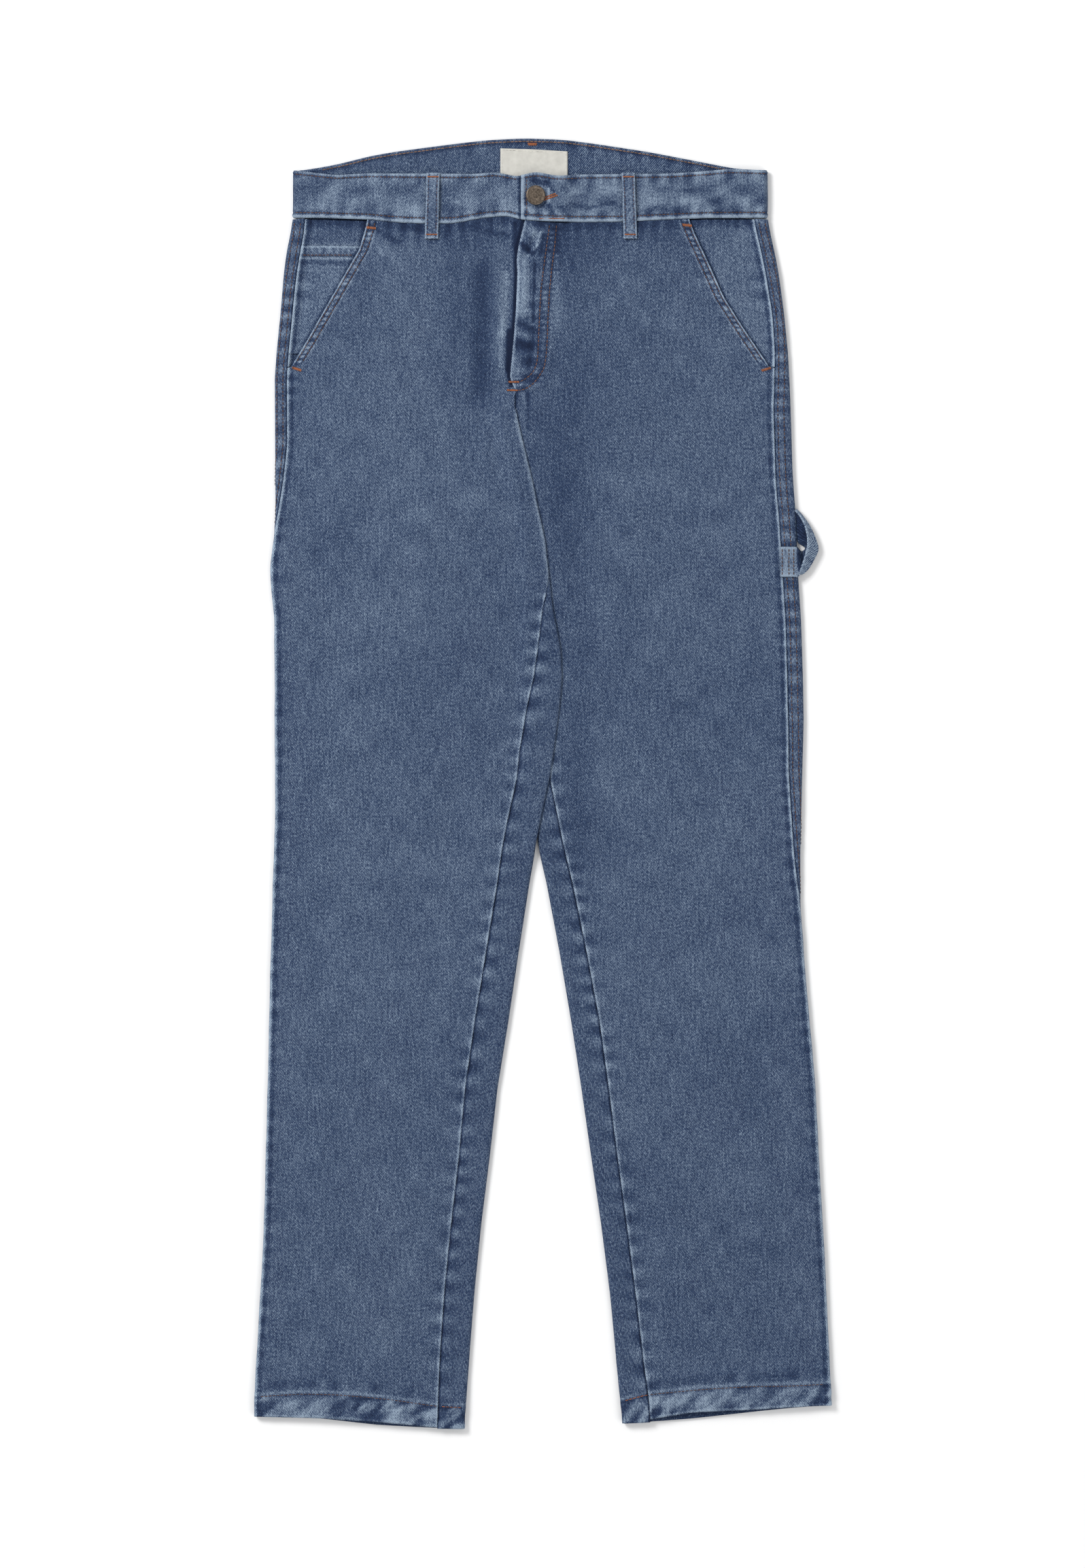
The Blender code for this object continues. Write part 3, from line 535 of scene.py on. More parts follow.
def on_tube(leg: Leg, down: Array, reach: Array, inset: Array,
            panel: Panel) -> tuple[Array, Array]:
    """Across and height of a point at a length of cloth from the inner fold's top.

    Args:
        leg: the leg.
        down: distances down.
        reach: length of cloth from the inner fold's top.
        inset: depth below the outside, below zero for relief.
        panel: the cloth that the points are on.

    Returns:
        Across and height, in mm.
    """
    down, reach, inset = np.broadcast_arrays(down, reach, inset)
    inner_x = leg.fold(down) + leg.out * FOLD_RADIUS
    outer_x = leg.outer(down) - leg.out * FOLD_RADIUS
    straight = np.abs(outer_x - inner_x)
    half_turn = math.pi * FOLD_RADIUS
    around = 2 * (straight + half_turn)
    is_open = (down <= LAST_OPEN_BACK) & (panel is Panel.BACK)
    reach = np.where(is_open, reach, np.mod(reach, around))
    across = inner_x + leg.out * reach
    height = heights(leg, across, down, panel)[1] - inset
    low, high = heights(leg, outer_x, down, panel)
    angle = np.clip((reach - straight) / FOLD_RADIUS, 0, math.pi)
    fold_x = outer_x + leg.out * (FOLD_RADIUS - inset) * bulge(angle, math.pi / 2)
    fold_z = (low + high) / 2 + ((high - low) / 2 - inset) * np.cos(angle)
    turned = reach > straight
    across, height = np.where(turned, fold_x, across), np.where(turned, fold_z, height)
    past = reach - straight - half_turn
    floor_x = outer_x - leg.out * past
    floor_z = heights(leg, floor_x, down, panel)[0] + inset
    under = past > 0
    across, height = np.where(under, floor_x, across), np.where(under, floor_z, height)
    past = past - straight
    low, high = heights(leg, inner_x, down, panel)
    angle = np.clip(past / FOLD_RADIUS, 0, math.pi)
    fold_x = inner_x - leg.out * (FOLD_RADIUS - inset) * bulge(math.pi - angle, math.pi / 2)
    fold_z = (low + high) / 2 - ((high - low) / 2 - inset) * np.cos(angle)
    back_in = (past > 0) & ~is_open
    return np.where(back_in, fold_x, across), np.where(back_in, fold_z, height)


def straight_length(leg: Leg, down: Array) -> Array:
    """Flat length of cloth between a leg's two folds."""
    return np.abs(leg.outer(down) - leg.fold(down)) - 2 * FOLD_RADIUS


def side_reach(leg: Leg, down: Array) -> Array:
    """Length of cloth from the inner fold's top to the side seam.

    Args:
        leg: the leg.
        down: distances down.

    Returns:
        Lengths, in mm.
    """
    inset = leg.side_seam(down)
    round_part = FOLD_RADIUS * np.arcsin(np.clip(1 - inset / FOLD_RADIUS, 0, 1))
    return straight_length(leg, down) + np.where(
        inset >= FOLD_RADIUS, FOLD_RADIUS - inset, round_part)


def across_reach(leg: Leg, down: Array, across: Array) -> Array:
    """Length of cloth from the inner fold's top to a place on the top."""
    return np.abs(across - leg.fold(down) - leg.out * FOLD_RADIUS)


def real_down(down: Array, across: Array, top: Profile, hem: Profile,
              extra: float) -> Array:
    """A station's distance, bent to the waist seam and the hem near them.

    Args:
        down: a station's distances down.
        across: places across, in mm.
        top: line of its upper edge.
        hem: line of its lower edge.
        extra: added below the upper edge.

    Returns:
        Distances down, in mm.
    """
    start = top(across) + extra + SEWN_GAP
    share = (down - TOP_ROW) / (TOP_BLEND - TOP_ROW)
    high = start + share * (TOP_BLEND - start)
    share = (down - HEM_BLEND) / (HEM_ROW - HEM_BLEND)
    low = HEM_BLEND + share * (hem(across) - HEM_BLEND)
    return np.where(down < TOP_BLEND, high, np.where(down > HEM_BLEND, low, down))


def fly_edge(down: Array) -> Array:
    """Place of the left front's edge while it is open."""
    return LEFT.fold(down) + FOLD_RADIUS


def hem_rope(across: Array, below: Array, seed: float) -> Array:
    """Slanted blotches where a hem's plies twist, from -1 to 1.

    Args:
        across: places across, in mm.
        below: distance below the hem's stitching.
        seed: picks one pattern of many.

    Returns:
        Blotches from -1 to 1.
    """
    slant = across + 0.8 * below
    wide = noise(slant, below, 8.5, seed) + 0.6 * noise(slant, below * 0.5, 4.5, seed + 1)
    share = 0.5 + 0.5 * noise(across, 0 * below, 31, seed + 2)
    return np.clip(wide * (0.55 + 0.75 * share), -1, 1)


def grooves(away: Array, places: Sequence[float]) -> Array:
    """1 along each stitched row beside an edge, 0 away from them."""
    return sum(bump((away - place) / ROW_WIDTH) for place in places)


def welt_mask(away: Array) -> Array:
    """1 along the turned edge of a seam, 0 away from it."""
    return bump((away - WELT_PLACE) / WELT_WIDTH)


def side_seam_form(leg: Leg, across: Array, down: Array, real: Array) -> Form:
    """The side seam: the front's edge stands up as a pale welt beside the back, with painted
    shadow beside the welt.

    Args:
        leg: the leg.
        across: places across, in mm.
        down: a station's distances down.
        real: distances down, bent to the waist seam and the hem.

    Returns:
        Relief, and wash with painted shadow.
    """
    side = np.abs(leg.seam_across(down) - across)
    on_seam = ease((down - POCKET_END + 4) / 6)
    wave = puckers(real, side, 14, 8, leg.seed)
    welt = welt_mask(side)
    relief = 0.30 * wave * ease(side / 3) + 0.55 * welt
    # The last term is painted shadow beside the welt.
    wash_and_shading = 0.26 * wave + 0.70 * welt - 0.26 * bump((side - 4.2) / 3.0)
    return on_seam * relief, on_seam * wash_and_shading


def inseam_form(leg: Leg, across: Array, down: Array, real: Array) -> Form:
    """The inseam: a narrow pale welt with deeper puckers.

    Args:
        leg: the leg.
        across: places across, in mm.
        down: a station's distances down.
        real: distances down, bent to the waist seam and the hem.

    Returns:
        Relief and wash.
    """
    inner = np.abs(across - leg.inseam_across(down))
    on_seam = leg.seam(down) > 1
    wave = puckers(real, inner, 19, 9, leg.seed + 1)
    welt = welt_mask(inner)
    relief = 0.36 * wave * ease(inner / 3) + 0.45 * welt
    return on_seam * relief, on_seam * (0.32 * wave + 0.50 * welt)


def mouth_form(leg: Leg, across: Array, down: Array, real: Array) -> Form:
    """The pocket mouth: a turned edge, gathered between two rows of stitching.

    Args:
        leg: the leg.
        across: places across, in mm.
        down: a station's distances down.
        real: distances down, bent to the waist seam and the hem.

    Returns:
        Relief, and wash with painted shade in the stitch grooves.
    """
    mouth = np.abs(leg.pocket(down) - across)
    at_mouth = ease((POCKET_END - down) / 4)
    between = bump((mouth - 4.6) / 3.4)
    wave = puckers(real * 1.15, mouth * 0, 5.4, 9, leg.seed + 2)
    soft = puckers(real * 1.15, mouth, 15, 13, leg.seed + 12)
    rows = grooves(mouth, MOUTH_ROWS)
    relief = 0.30 * wave * between + 0.6 * bump((mouth - 0.9) / 2.0)
    relief = relief + 0.45 * ease((8.8 - mouth) / 1.6) - 0.30 * rows + 0.2 * soft
    wash_and_shading = (0.18 + 0.55 * wave) * between + 0.75 * bump((mouth - 0.7) / 1.7)
    # The rows are darkened: painted shade in their grooves.
    wash_and_shading = wash_and_shading + 0.32 * bump((mouth - 8.9) / 1.6) - 0.50 * rows + 0.16 * soft
    return at_mouth * relief, at_mouth * wash_and_shading


def waist_form(leg: Leg, across: Array, down: Array, real: Array) -> Form:
    """The waist seam: gathers that hang from the waistband, and painted shade just below it.

    Args:
        leg: the leg.
        across: places across, in mm.
        down: not used.
        real: distances down, bent to the waist seam and the hem.

    Returns:
        Relief, and wash with painted shade below the waistband.
    """
    drop = real - FRONT_TOP(across)
    wave = puckers(across, drop, 13, 14, leg.seed + 3)
    # The wash's last term is painted shade just below the waistband.
    return 0.36 * wave + 0.2 * bump(drop / 3), 0.28 * wave - 0.34 * bump((drop - 2) / 9)


def hem_form(leg: Leg, across: Array, down: Array, real: Array) -> Form:
    """The hem: three plies, twisted by the stitching.

    Args:
        leg: the leg.
        across: places across, in mm.
        down: not used.
        real: distances down, bent to the waist seam and the hem.

    Returns:
        Relief, and wash with painted shade in the stitch groove.
    """
    below = real - HEM_STITCH(across)
    in_hem = ease(below / 1.2 + 0.5)
    rope = hem_rope(across, below, leg.seed + 4)
    relief = in_hem * (0.50 + 0.40 * rope) + 0.30 * bump((below + 2.0) / 2.5)
    edge = bump((FRONT_HEM(across) - real - 0.8) / 1.8)
    wash_and_shading = in_hem * (0.12 + 0.50 * rope) + 0.34 * bump((below + 2.2) / 2.2)
    # The last term is painted shade in the groove of the stitching.
    wash_and_shading = wash_and_shading + 0.40 * edge - 0.30 * bump((below - 0.8) / 1.6)
    above = noise(across, below, 9, leg.seed + 6) * bump((below + 8) / 9)
    wash_and_shading = wash_and_shading + (1 - in_hem) * (0.26 * above - 0.08 * bump((below + 10) / 9))
    return relief, wash_and_shading


def fly_form(leg: Leg, across: Array, down: Array, real: Array) -> Form:
    """The fly: the left edge turned under and stitched, with painted shadow on the right front
    beside it.

    Args:
        leg: the leg.
        across: places across, in mm.
        down: a station's distances down.
        real: distances down, bent to the waist seam and the hem.

    Returns:
        Relief, and wash with painted shade and shadow.
    """
    if leg is RIGHT:
        # Painted shadow along the gap under the left front's edge.
        gap = (down < 214) * bump((across - fly_edge(down) + 0.9) / 2.6)
        wash_and_shading = stroke_map(RIGHT_STROKES, across, real) - 1.30 * gap
        relief = 0.7 * stroke_map(RIGHT_STROKES[:1], across, real) - 0.6 * gap
        fold_edge = bump((across - leg.fold(down) + 1) / 3.4) * ease((down - 222) / 20)
        return relief, wash_and_shading + 0.45 * fold_edge
    edge = across - fly_edge(down)
    on_fly = ease((219 - down) / 4)
    wave = puckers(real, edge - 16, 13, 8, 61)
    roll = bump((edge - 1.0) / 2.2)
    strip = ease(edge / 2) * ease((16 - edge) / 3) * ease((206 - down) / 8)
    relief = on_fly * (0.35 * roll + 0.34 * wave + 0.5 * strip)
    relief = relief + 0.8 * stroke_map(LEFT_STROKES[4:13], across, real)
    wash_and_shading = on_fly * (0.60 * roll + 0.26 * wave) + stroke_map(LEFT_STROKES, across, real)
    gather = puckers(real, 0 * real, 5.0, 9, 63)
    for row in (FLY_STITCH_OUTER, FLY_STITCH_INNER):
        beside = line_distance(row, across, real)
        relief = relief - 0.25 * bump(beside / 1.5)
        # Painted shade in the grooves of the stitching.
        wash_and_shading = wash_and_shading - 0.50 * bump(beside / 1.5)
        wash_and_shading = wash_and_shading + (0.10 + 0.28 * gather) * bump((beside - 2.8) / 2.2)
    return relief, wash_and_shading


def front_relief(leg: Leg, across: Array, down: Array, real: Array) -> Form:
    """Fine relief of a front, in mm, and its wash with painted shading, from -1 to 1.

    Args:
        leg: the leg.
        across: places across, in mm.
        down: a station's distances down.
        real: distances down, bent to the waist seam and the hem.

    Returns:
        Relief, and wash with painted shading.
    """
    relief = 0.34 * noise(across, real, 36, 1) + 0.18 * noise(across, real, 15, 2)
    wash_and_shading = 0.0
    for form in (side_seam_form, inseam_form, mouth_form, waist_form, hem_form, fly_form):
        raised, shade = form(leg, across, down, real)
        relief = relief + raised
        wash_and_shading = wash_and_shading + shade
    return relief, wash_and_shading


def back_relief(leg: Leg, across: Array, down: Array, real: Array, reach: Array,
                on_top: Array) -> Form:
    """Fine relief of a back panel, which shows as strips beside the seams.

    Args:
        leg: the leg.
        across: places across, in mm.
        down: a station's distances down.
        real: distances down, bent to the waist seam and the hem.
        reach: length of cloth from the inner fold's top.
        on_top: whether a point faces up.

    Returns:
        Relief, and wash with painted shade in the seams and the stitch grooves.
    """
    cloth = 0.16 * noise(across, real, 30, 11) + 0.12 * noise(across, real, 13, 12)
    seed = leg.seed + 40
    side = reach - side_reach(leg, down)
    wave = puckers(real, side - 4, 15, 9, seed)
    valley = bump(side / 1.5)
    rows = grooves(side, SIDE_ROWS)
    raised = ease(side / 2) * ease((11 - side) / 2)
    near_side = side < 40
    relief = cloth + near_side * (0.26 * wave + 0.30 * raised - 0.20 * valley - 0.2 * rows)
    # Darker in the seam's valley and along the rows: painted shade.
    wash_and_shading = near_side * (0.30 * wave - 0.55 * valley + 0.12 * raised - 0.30 * rows)
    around = 2 * (straight_length(leg, down) + math.pi * FOLD_RADIUS)
    inner = around + leg.seam(down) - reach
    is_inner = (inner < 45) & (leg.seam(down) > 1)
    wave = puckers(real, inner, 20, 10, seed + 1)
    valley = bump(inner / 1.5)
    relief = relief + is_inner * (0.36 * wave - 0.20 * valley)
    # Painted shade in the inseam's valley.
    wash_and_shading = wash_and_shading + is_inner * (0.36 * wave - 0.60 * valley)
    below = real - HEM_STITCH(across)
    in_hem = ease(below / 1.2 + 0.5)
    rope = hem_rope(across, below, seed + 4)
    relief = relief + in_hem * (0.4 + 0.36 * rope)
    wash_and_shading = wash_and_shading + in_hem * (0.12 + 0.48 * rope) + 0.34 * bump((below + 2.2) / 2.2)
    # Painted shade in the hem's stitch groove.
    wash_and_shading = wash_and_shading - 0.30 * bump((below - 0.8) / 1.6)
    relief = np.where(on_top, relief, 0.0)
    return relief, wash_and_shading


def wash_and_shading_map(across: Array, down: Array) -> Array:
    """Broad pale and dark patches: wash fading, and the painted shade and highlights of the table.

    Args:
        across: places across, in mm.
        down: distances down.

    Returns:
        Wash and painted shading at each point.
    """
    total = 0.04 * noise(across, down, 60, 31) + 0.05 * noise(across, down, 14, 32)
    for patch in WASH_AND_SHADING_PATCHES:
        far = ((across - patch.across) / patch.reach_across) ** 2
        far = far + ((down - patch.down) / patch.reach_down) ** 2
        total = total + patch.amount * np.exp(-far)
    return total


def line_distance(points: Sequence[tuple[float, float]], across: Array,
                  down: Array) -> Array:
    """Distance from a line of (across, down) points.

    Args:
        points: the line's corners, each across and down.
        across: places across, in mm.
        down: distances down.

    Returns:
        Distances, in mm.
    """
    nearest = np.full(np.broadcast(across, down).shape, 1e3)
    for (x0, y0), (x1, y1) in zip(points, points[1:]):
        length = math.hypot(x1 - x0, y1 - y0)
        share = ((across - x0) * (x1 - x0) + (down - y0) * (y1 - y0)) / length**2
        share = np.clip(share, 0, 1)
        off = np.hypot(across - x0 - share * (x1 - x0), down - y0 - share * (y1 - y0))
        nearest = np.minimum(nearest, off)
    return nearest


def stroke_map(strokes: Sequence[Stroke], across: Array, down: Array) -> Array:
    """Painted shading and wear of a table of strokes.

    Args:
        strokes: the strokes.
        across: places across, in mm.
        down: distances down.

    Returns:
        Painted shading and wear at each point.
    """
    total = np.zeros(np.broadcast(across, down).shape)
    for mark in strokes:
        run = np.array([mark.across1 - mark.across0, mark.down1 - mark.down0])
        share = (across - mark.across0) * run[0] + (down - mark.down0) * run[1]
        share = np.clip(share / max(run @ run, 1e-6), 0, 1)
        off = np.hypot(across - mark.across0 - share * run[0],
                       down - mark.down0 - share * run[1])
        total += mark.amount * bump(off / mark.width)
    return total


def world(across: Array, down: Array, height: Array) -> Array:
    """Points in the row frame, in metres."""
    across, down, height = np.broadcast_arrays(across, down, height)
    return np.stack([across, HALF_LENGTH - down, height], axis=-1) * MM


def new_object(name: str, points: Array, faces: Sequence,
               material: bpy.types.Material) -> bpy.types.Object:
    """Makes a smooth-shaded mesh object with its faces turned outward.

    Args:
        name: the object's name.
        points: its points.
        faces: the points of each face.
        material: its finish.

    Returns:
        The object.
    """
    mesh = bpy.data.meshes.new(name)
    mesh.from_pydata(points.reshape(-1, 3).tolist(), [], faces)
    mesh.materials.append(material)
    work = bmesh.new()
    work.from_mesh(mesh)
    bmesh.ops.recalc_face_normals(work, faces=work.faces[:])
    work.to_mesh(mesh)
    work.free()
    mesh.shade_smooth()
    made = bpy.data.objects.new(name, mesh)
    bpy.context.scene.collection.objects.link(made)
    return made


def set_attribute(made: bpy.types.Object, name: str, values: Array) -> None:
    """Stores one number for each vertex."""
    layer = made.data.attributes.new(name, "FLOAT", "POINT")
    layer.data.foreach_set("value", np.asarray(values, np.float32).reshape(-1))


def set_uv(made: bpy.types.Object, places: Array) -> None:
    """Stores each vertex's place on its cut of cloth, in metres, as a UV map.

    Args:
        made: the piece.
        places: place on the cloth.
    """
    layer = made.data.uv_layers.new(name="Cloth")
    corners = np.zeros(len(made.data.loops), np.int32)
    made.data.loops.foreach_get("vertex_index", corners)
    layer.data.foreach_set("uv", places.reshape(-1, 2)[corners].astype(np.float32).reshape(-1))


def shell(name: str, outside: Array, inside: Array, wash_and_shading: Array, cut: Array,
          material: bpy.types.Material) -> bpy.types.Object:
    """One closed shell of cloth between two grids of points.

    Args:
        name: its name.
        outside: rows x columns x 3, in metres.
        inside: the same for the other face.
        wash_and_shading: one number a point: wash and painted shading.
        cut: place on the cloth in mm, for the weave.
        material: the cloth's finish.

    Returns:
        The piece.
    """
    rows, columns = outside.shape[:2]
    index = np.arange(rows * columns).reshape(rows, columns)
    a, b = index[:-1, :-1], index[:-1, 1:]
    c, d = index[1:, 1:], index[1:, :-1]
    top = np.stack([a, d, c, b], -1).reshape(-1, 4)
    shift = rows * columns
    under = np.stack([a, b, c, d], -1).reshape(-1, 4) + shift
    ring = np.concatenate([index[0], index[1:, -1], index[-1, -2::-1], index[-2:0:-1, 0]])
    after = np.roll(ring, -1)
    rim = np.stack([ring, after, after + shift, ring + shift], -1)
    faces = np.concatenate([top, under, rim]).tolist()
    points = np.concatenate([outside.reshape(-1, 3), inside.reshape(-1, 3)])
    made = new_object(name, points, faces, material)
    inner_wash = np.full_like(wash_and_shading, -0.25)
    set_attribute(made, "wash_and_shading", np.concatenate([wash_and_shading.reshape(-1), inner_wash.reshape(-1)]))
    places = np.concatenate([cut.reshape(-1, 2), cut.reshape(-1, 2)]) * MM
    set_uv(made, places)
    LOG.info("%s: %d faces", name, len(made.data.polygons))
    return made


def dress(made: bpy.types.Object, slot: str, *nodes: str) -> None:
    """Rides a piece on the body and hides the nodes it stands for.

    Args:
        made: the piece.
        slot: not used.
        nodes: the nodes that it stands for.
    """
    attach(made, "root")
    if nodes:
        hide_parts(*nodes)


def stations() -> Array:
    """Distances of a panel's rows: finer at the waist, the crotch and the hem."""
    parts = [
        np.arange(TOP_ROW, 240, 1.3), np.arange(240, 420, 2.6),
        np.arange(420, HEM_BLEND, 3.2), np.arange(HEM_BLEND, HEM_ROW, 1.5),
        np.array([HEM_ROW]),
    ]
    return np.concatenate(parts)


def wall_at(down: Array) -> Array:
    """Thickness of the cloth: more at the hem."""
    return np.where(down > 1080, HEM_CLOTH, CLOTH)


def spread(stops: Sequence[Array], counts: Sequence[int]) -> Array:
    """Columns through rows of stops, each stretch cut into its count.

    Args:
        stops: columns of places, one a row.
        counts: how many columns each stretch gets.

    Returns:
        Rows x columns of places.
    """
    found = [stops[0][:, None]]
    for start, end, count in zip(stops, stops[1:], counts):
        share = (np.arange(count) + 1) / count
        found.append(start[:, None] + (end - start)[:, None] * share)
    return np.concatenate(found, axis=1)


@dataclass(frozen=True)
class LegPanels:
    """The front and back panels of one leg.

    Attributes:
        leg: the leg's lines.
        front_counts: columns in each stretch of the front, from the inner fold out.
        back_counts: columns in each stretch of the back, from the side seam round.
        back_turn: turn of the back's lengthwise thread, in radians.
    """

    leg: Leg
    front_counts: tuple[int, ...] = (8, 22, 10, 45, 16)
    back_counts: tuple[int, ...] = (8, 10, 10, 8, 9, 10)
    back_turn: float = 0.35

    def build_front(self, material: bpy.types.Material) -> bpy.types.Object:
        """A front leg panel as a closed shell.

        Args:
            material: its finish.

        Returns:
            The piece.
        """
        leg = self.leg
        down = stations()
        start = leg.seam(down) + SEAM_GAP
        end = side_reach(leg, down) - SEAM_GAP
        mouth = across_reach(leg, down, leg.pocket(down))
        end = np.where(down <= POCKET_END, np.minimum(end, mouth), end)
        before = np.minimum(end, straight_length(leg, down)) - 12
        first = np.maximum(start, 0)
        reach = spread((start, first + 8, first + 36, first + 60, before, end),
                       self.front_counts)
        down = down[:, None] + 0 * reach
        across, _ = on_tube(leg, down, reach, 0.0, Panel.FRONT)
        real = real_down(down, across, FRONT_TOP, FRONT_HEM, 0)
        relief, wash_and_shading = front_relief(leg, across, down, real)
        outside = on_tube(leg, down, reach, -relief, Panel.FRONT)
        inside = on_tube(leg, down, reach, wall_at(down) - np.minimum(relief, 0), Panel.FRONT)
        wash_and_shading = wash_and_shading + wash_and_shading_map(across, real)
        cut = np.stack([leg.fold(down) + leg.out * (FOLD_RADIUS + reach), real], -1)
        return shell(f"front_{leg.name}_cloth", world(outside[0], real, outside[1]),
                     world(inside[0], real, inside[1]), wash_and_shading, cut, material)

    def build_back(self, material: bpy.types.Material) -> bpy.types.Object:
        """A back leg panel: strips on top, both folds and the side on the floor.

        Args:
            material: its finish.

        Returns:
            The piece.
        """
        leg = self.leg
        down = stations()
        start = side_reach(leg, down) + SEAM_GAP
        straight = straight_length(leg, down)
        half_turn = math.pi * FOLD_RADIUS
        outer_x = leg.outer(down) - leg.out * FOLD_RADIUS
        around = 2 * (straight + half_turn)
        is_open = down <= LAST_OPEN_BACK
        open_end = straight + half_turn + np.abs(outer_x - leg.back_edge(down))
        end = np.where(is_open, open_end, around + leg.seam(down) - SEAM_GAP)
        floor_start = straight + half_turn + 1
        last = np.minimum(2 * straight + half_turn - 1, end - 5)
        fold_in = np.minimum(around - 1, end - 2)
        ramp = np.minimum(last - 3, last * 0 + straight + half_turn + np.abs(
            outer_x - LEFT.fold(down) + 19)) if leg is RIGHT else last - 20
        stops = (start, np.maximum(start + 0.8, straight), floor_start, ramp, last, fold_in, end)
        reach = spread(stops, self.back_counts)
        down = down[:, None] + 0 * reach
        across, height = on_tube(leg, down, reach, 0.0, Panel.BACK)
        real = real_down(down, across, BACK_TOP, BACK_HEM, 41.9)
        low, high = heights(leg, across, down, Panel.BACK)
        on_top = height > low + 0.6 * (high - low)
        relief, wash_and_shading = back_relief(leg, across, down, real, reach, on_top)
        outside = on_tube(leg, down, reach, -relief, Panel.BACK)
        inside = on_tube(leg, down, reach, wall_at(down) - np.minimum(relief, 0), Panel.BACK)
        wash_and_shading = wash_and_shading + wash_and_shading_map(across, real) * 0.8 - 0.03
        flat_x = outer_x[:, None] + leg.out * (reach - straight[:, None])
        turn = self.back_turn
        cut = np.stack([flat_x * math.cos(turn) - real * math.sin(turn),
                        real * math.cos(turn) + flat_x * math.sin(turn)], -1)
        return shell(f"back_{leg.name}_cloth", world(outside[0], real, outside[1]),
                     world(inside[0], real, inside[1]), wash_and_shading, cut, material)


@dataclass(frozen=True)
class PocketLayer:
    """A facing or the coin pocket, under the slanted mouth.

    Attributes:
        name: the node that it stands for.
        leg: the leg that it is on.
        first_row, last_row: distance down of its ends.
        seam_depth, front_depth: depth below the panel at the side seam and under the front.
        shade: added to its wash.
        has_lip: whether its upper edge is a turned and stitched opening.
        inward: how far it runs under the front.
        cloth: thickness below its surface.
    """

    name: str
    leg: Leg
    first_row: float
    last_row: float
    seam_depth: float
    front_depth: float
    shade: float
    has_lip: bool = False
    inward: float = 16.0
    cloth: float = 1.0

    def build(self, material: bpy.types.Material) -> bpy.types.Object:
        """The layer as one closed shell.

        Args:
            material: its finish.

        Returns:
            The piece.
        """
        leg = self.leg
        down = np.linspace(self.first_row, self.last_row, 110)[:, None]
        seam = leg.seam_across(down)
        share = (np.linspace(0, 1, 56)[None, :]) ** 1.3
        start = seam - leg.out * 0.05
        across = start + share * (leg.pocket(down) - leg.out * self.inward - start)
        down = down + 0 * across
        away = (seam - across) * leg.out
        room = np.clip(np.abs(leg.pocket(down) - seam) * 0.8, 1, 9)
        depth = self.seam_depth + (self.front_depth - self.seam_depth) * ease(away / room)
        real = real_down(down, across, FRONT_TOP, FRONT_HEM, 0)
        height = heights(leg, across, down, Panel.FRONT)[1] - depth
        mouth = np.abs(leg.pocket(down) - across)
        drop = real - FRONT_TOP(across)
        welt = welt_mask(away)
        relief = 0.16 * noise(across, real, 16, 71) + 0.14 * puckers(real, away, 14, 9, 72)
        wash_and_shading = self.shade + 0.22 * puckers(real, away - 3, 14, 12, 73) + wash_and_shading_map(across, real)
        # Painted shadow under the front's mouth edge, and the pale welt.
        wash_and_shading = wash_and_shading - 0.55 * bump((mouth + 1) / 5) + 0.75 * welt
        # Painted shade beside the side seam and just below the waistband.
        wash_and_shading = wash_and_shading - 0.34 * bump((away - 4.0) / 2.6) - 0.40 * bump((drop - 2) / 9)
        wash_and_shading = wash_and_shading + 0.26 * puckers(across, drop, 9, 9, 74)
        # Painted shadow on the right facing above the coin pocket.
        wash_and_shading = wash_and_shading - 0.26 * ease((92 - real) / 4) * (leg is RIGHT)
        if self.has_lip:
            raised, shade = self.lip_form(across, real)
            relief, wash_and_shading = relief + raised, wash_and_shading + shade
        relief = relief * ease((away + 0.5) / 4) * ease(mouth / 3) + 0.5 * welt
        relief = np.minimum(relief, 0.9)
        outside = world(across, real, height + relief)
        inside = world(across, real, height - self.cloth)
        cut = np.stack([across, real], -1)
        return shell(f"{self.name}_cloth", outside, inside, wash_and_shading, cut, material)

    def lip_form(self, across: Array, real: Array) -> Form:
        """Relief and wash of the turned upper edge and its two rows of stitching, with painted
        shade in the row's groove and below the lip.

        Args:
            across: places across, in mm.
            real: distances down, bent to the waist seam and the hem.

        Returns:
            Relief, and wash with painted shade.
        """
        lip = real - self.first_row
        wave = puckers(across, lip * 0, 6.0, 9, 75)
        gathered = wave * bump((lip - 4) / 4)
        row = bump((lip - 8.2) / 1.2)
        relief = 0.4 * bump((lip - 1) / 2.5) + 0.35 * ease((10.5 - lip) / 1.5)
        wash_and_shading = 0.5 * bump((lip - 1) / 1.8) + 0.34 * bump((lip - 11.0) / 1.6)
        # Painted shade in the row's groove and below the raised lip.
        wash_and_shading = wash_and_shading + 0.34 * gathered - 0.30 * row - 0.28 * bump((lip - 14.5) / 4)
        return relief + 0.25 * gathered - 0.3 * row, wash_and_shading


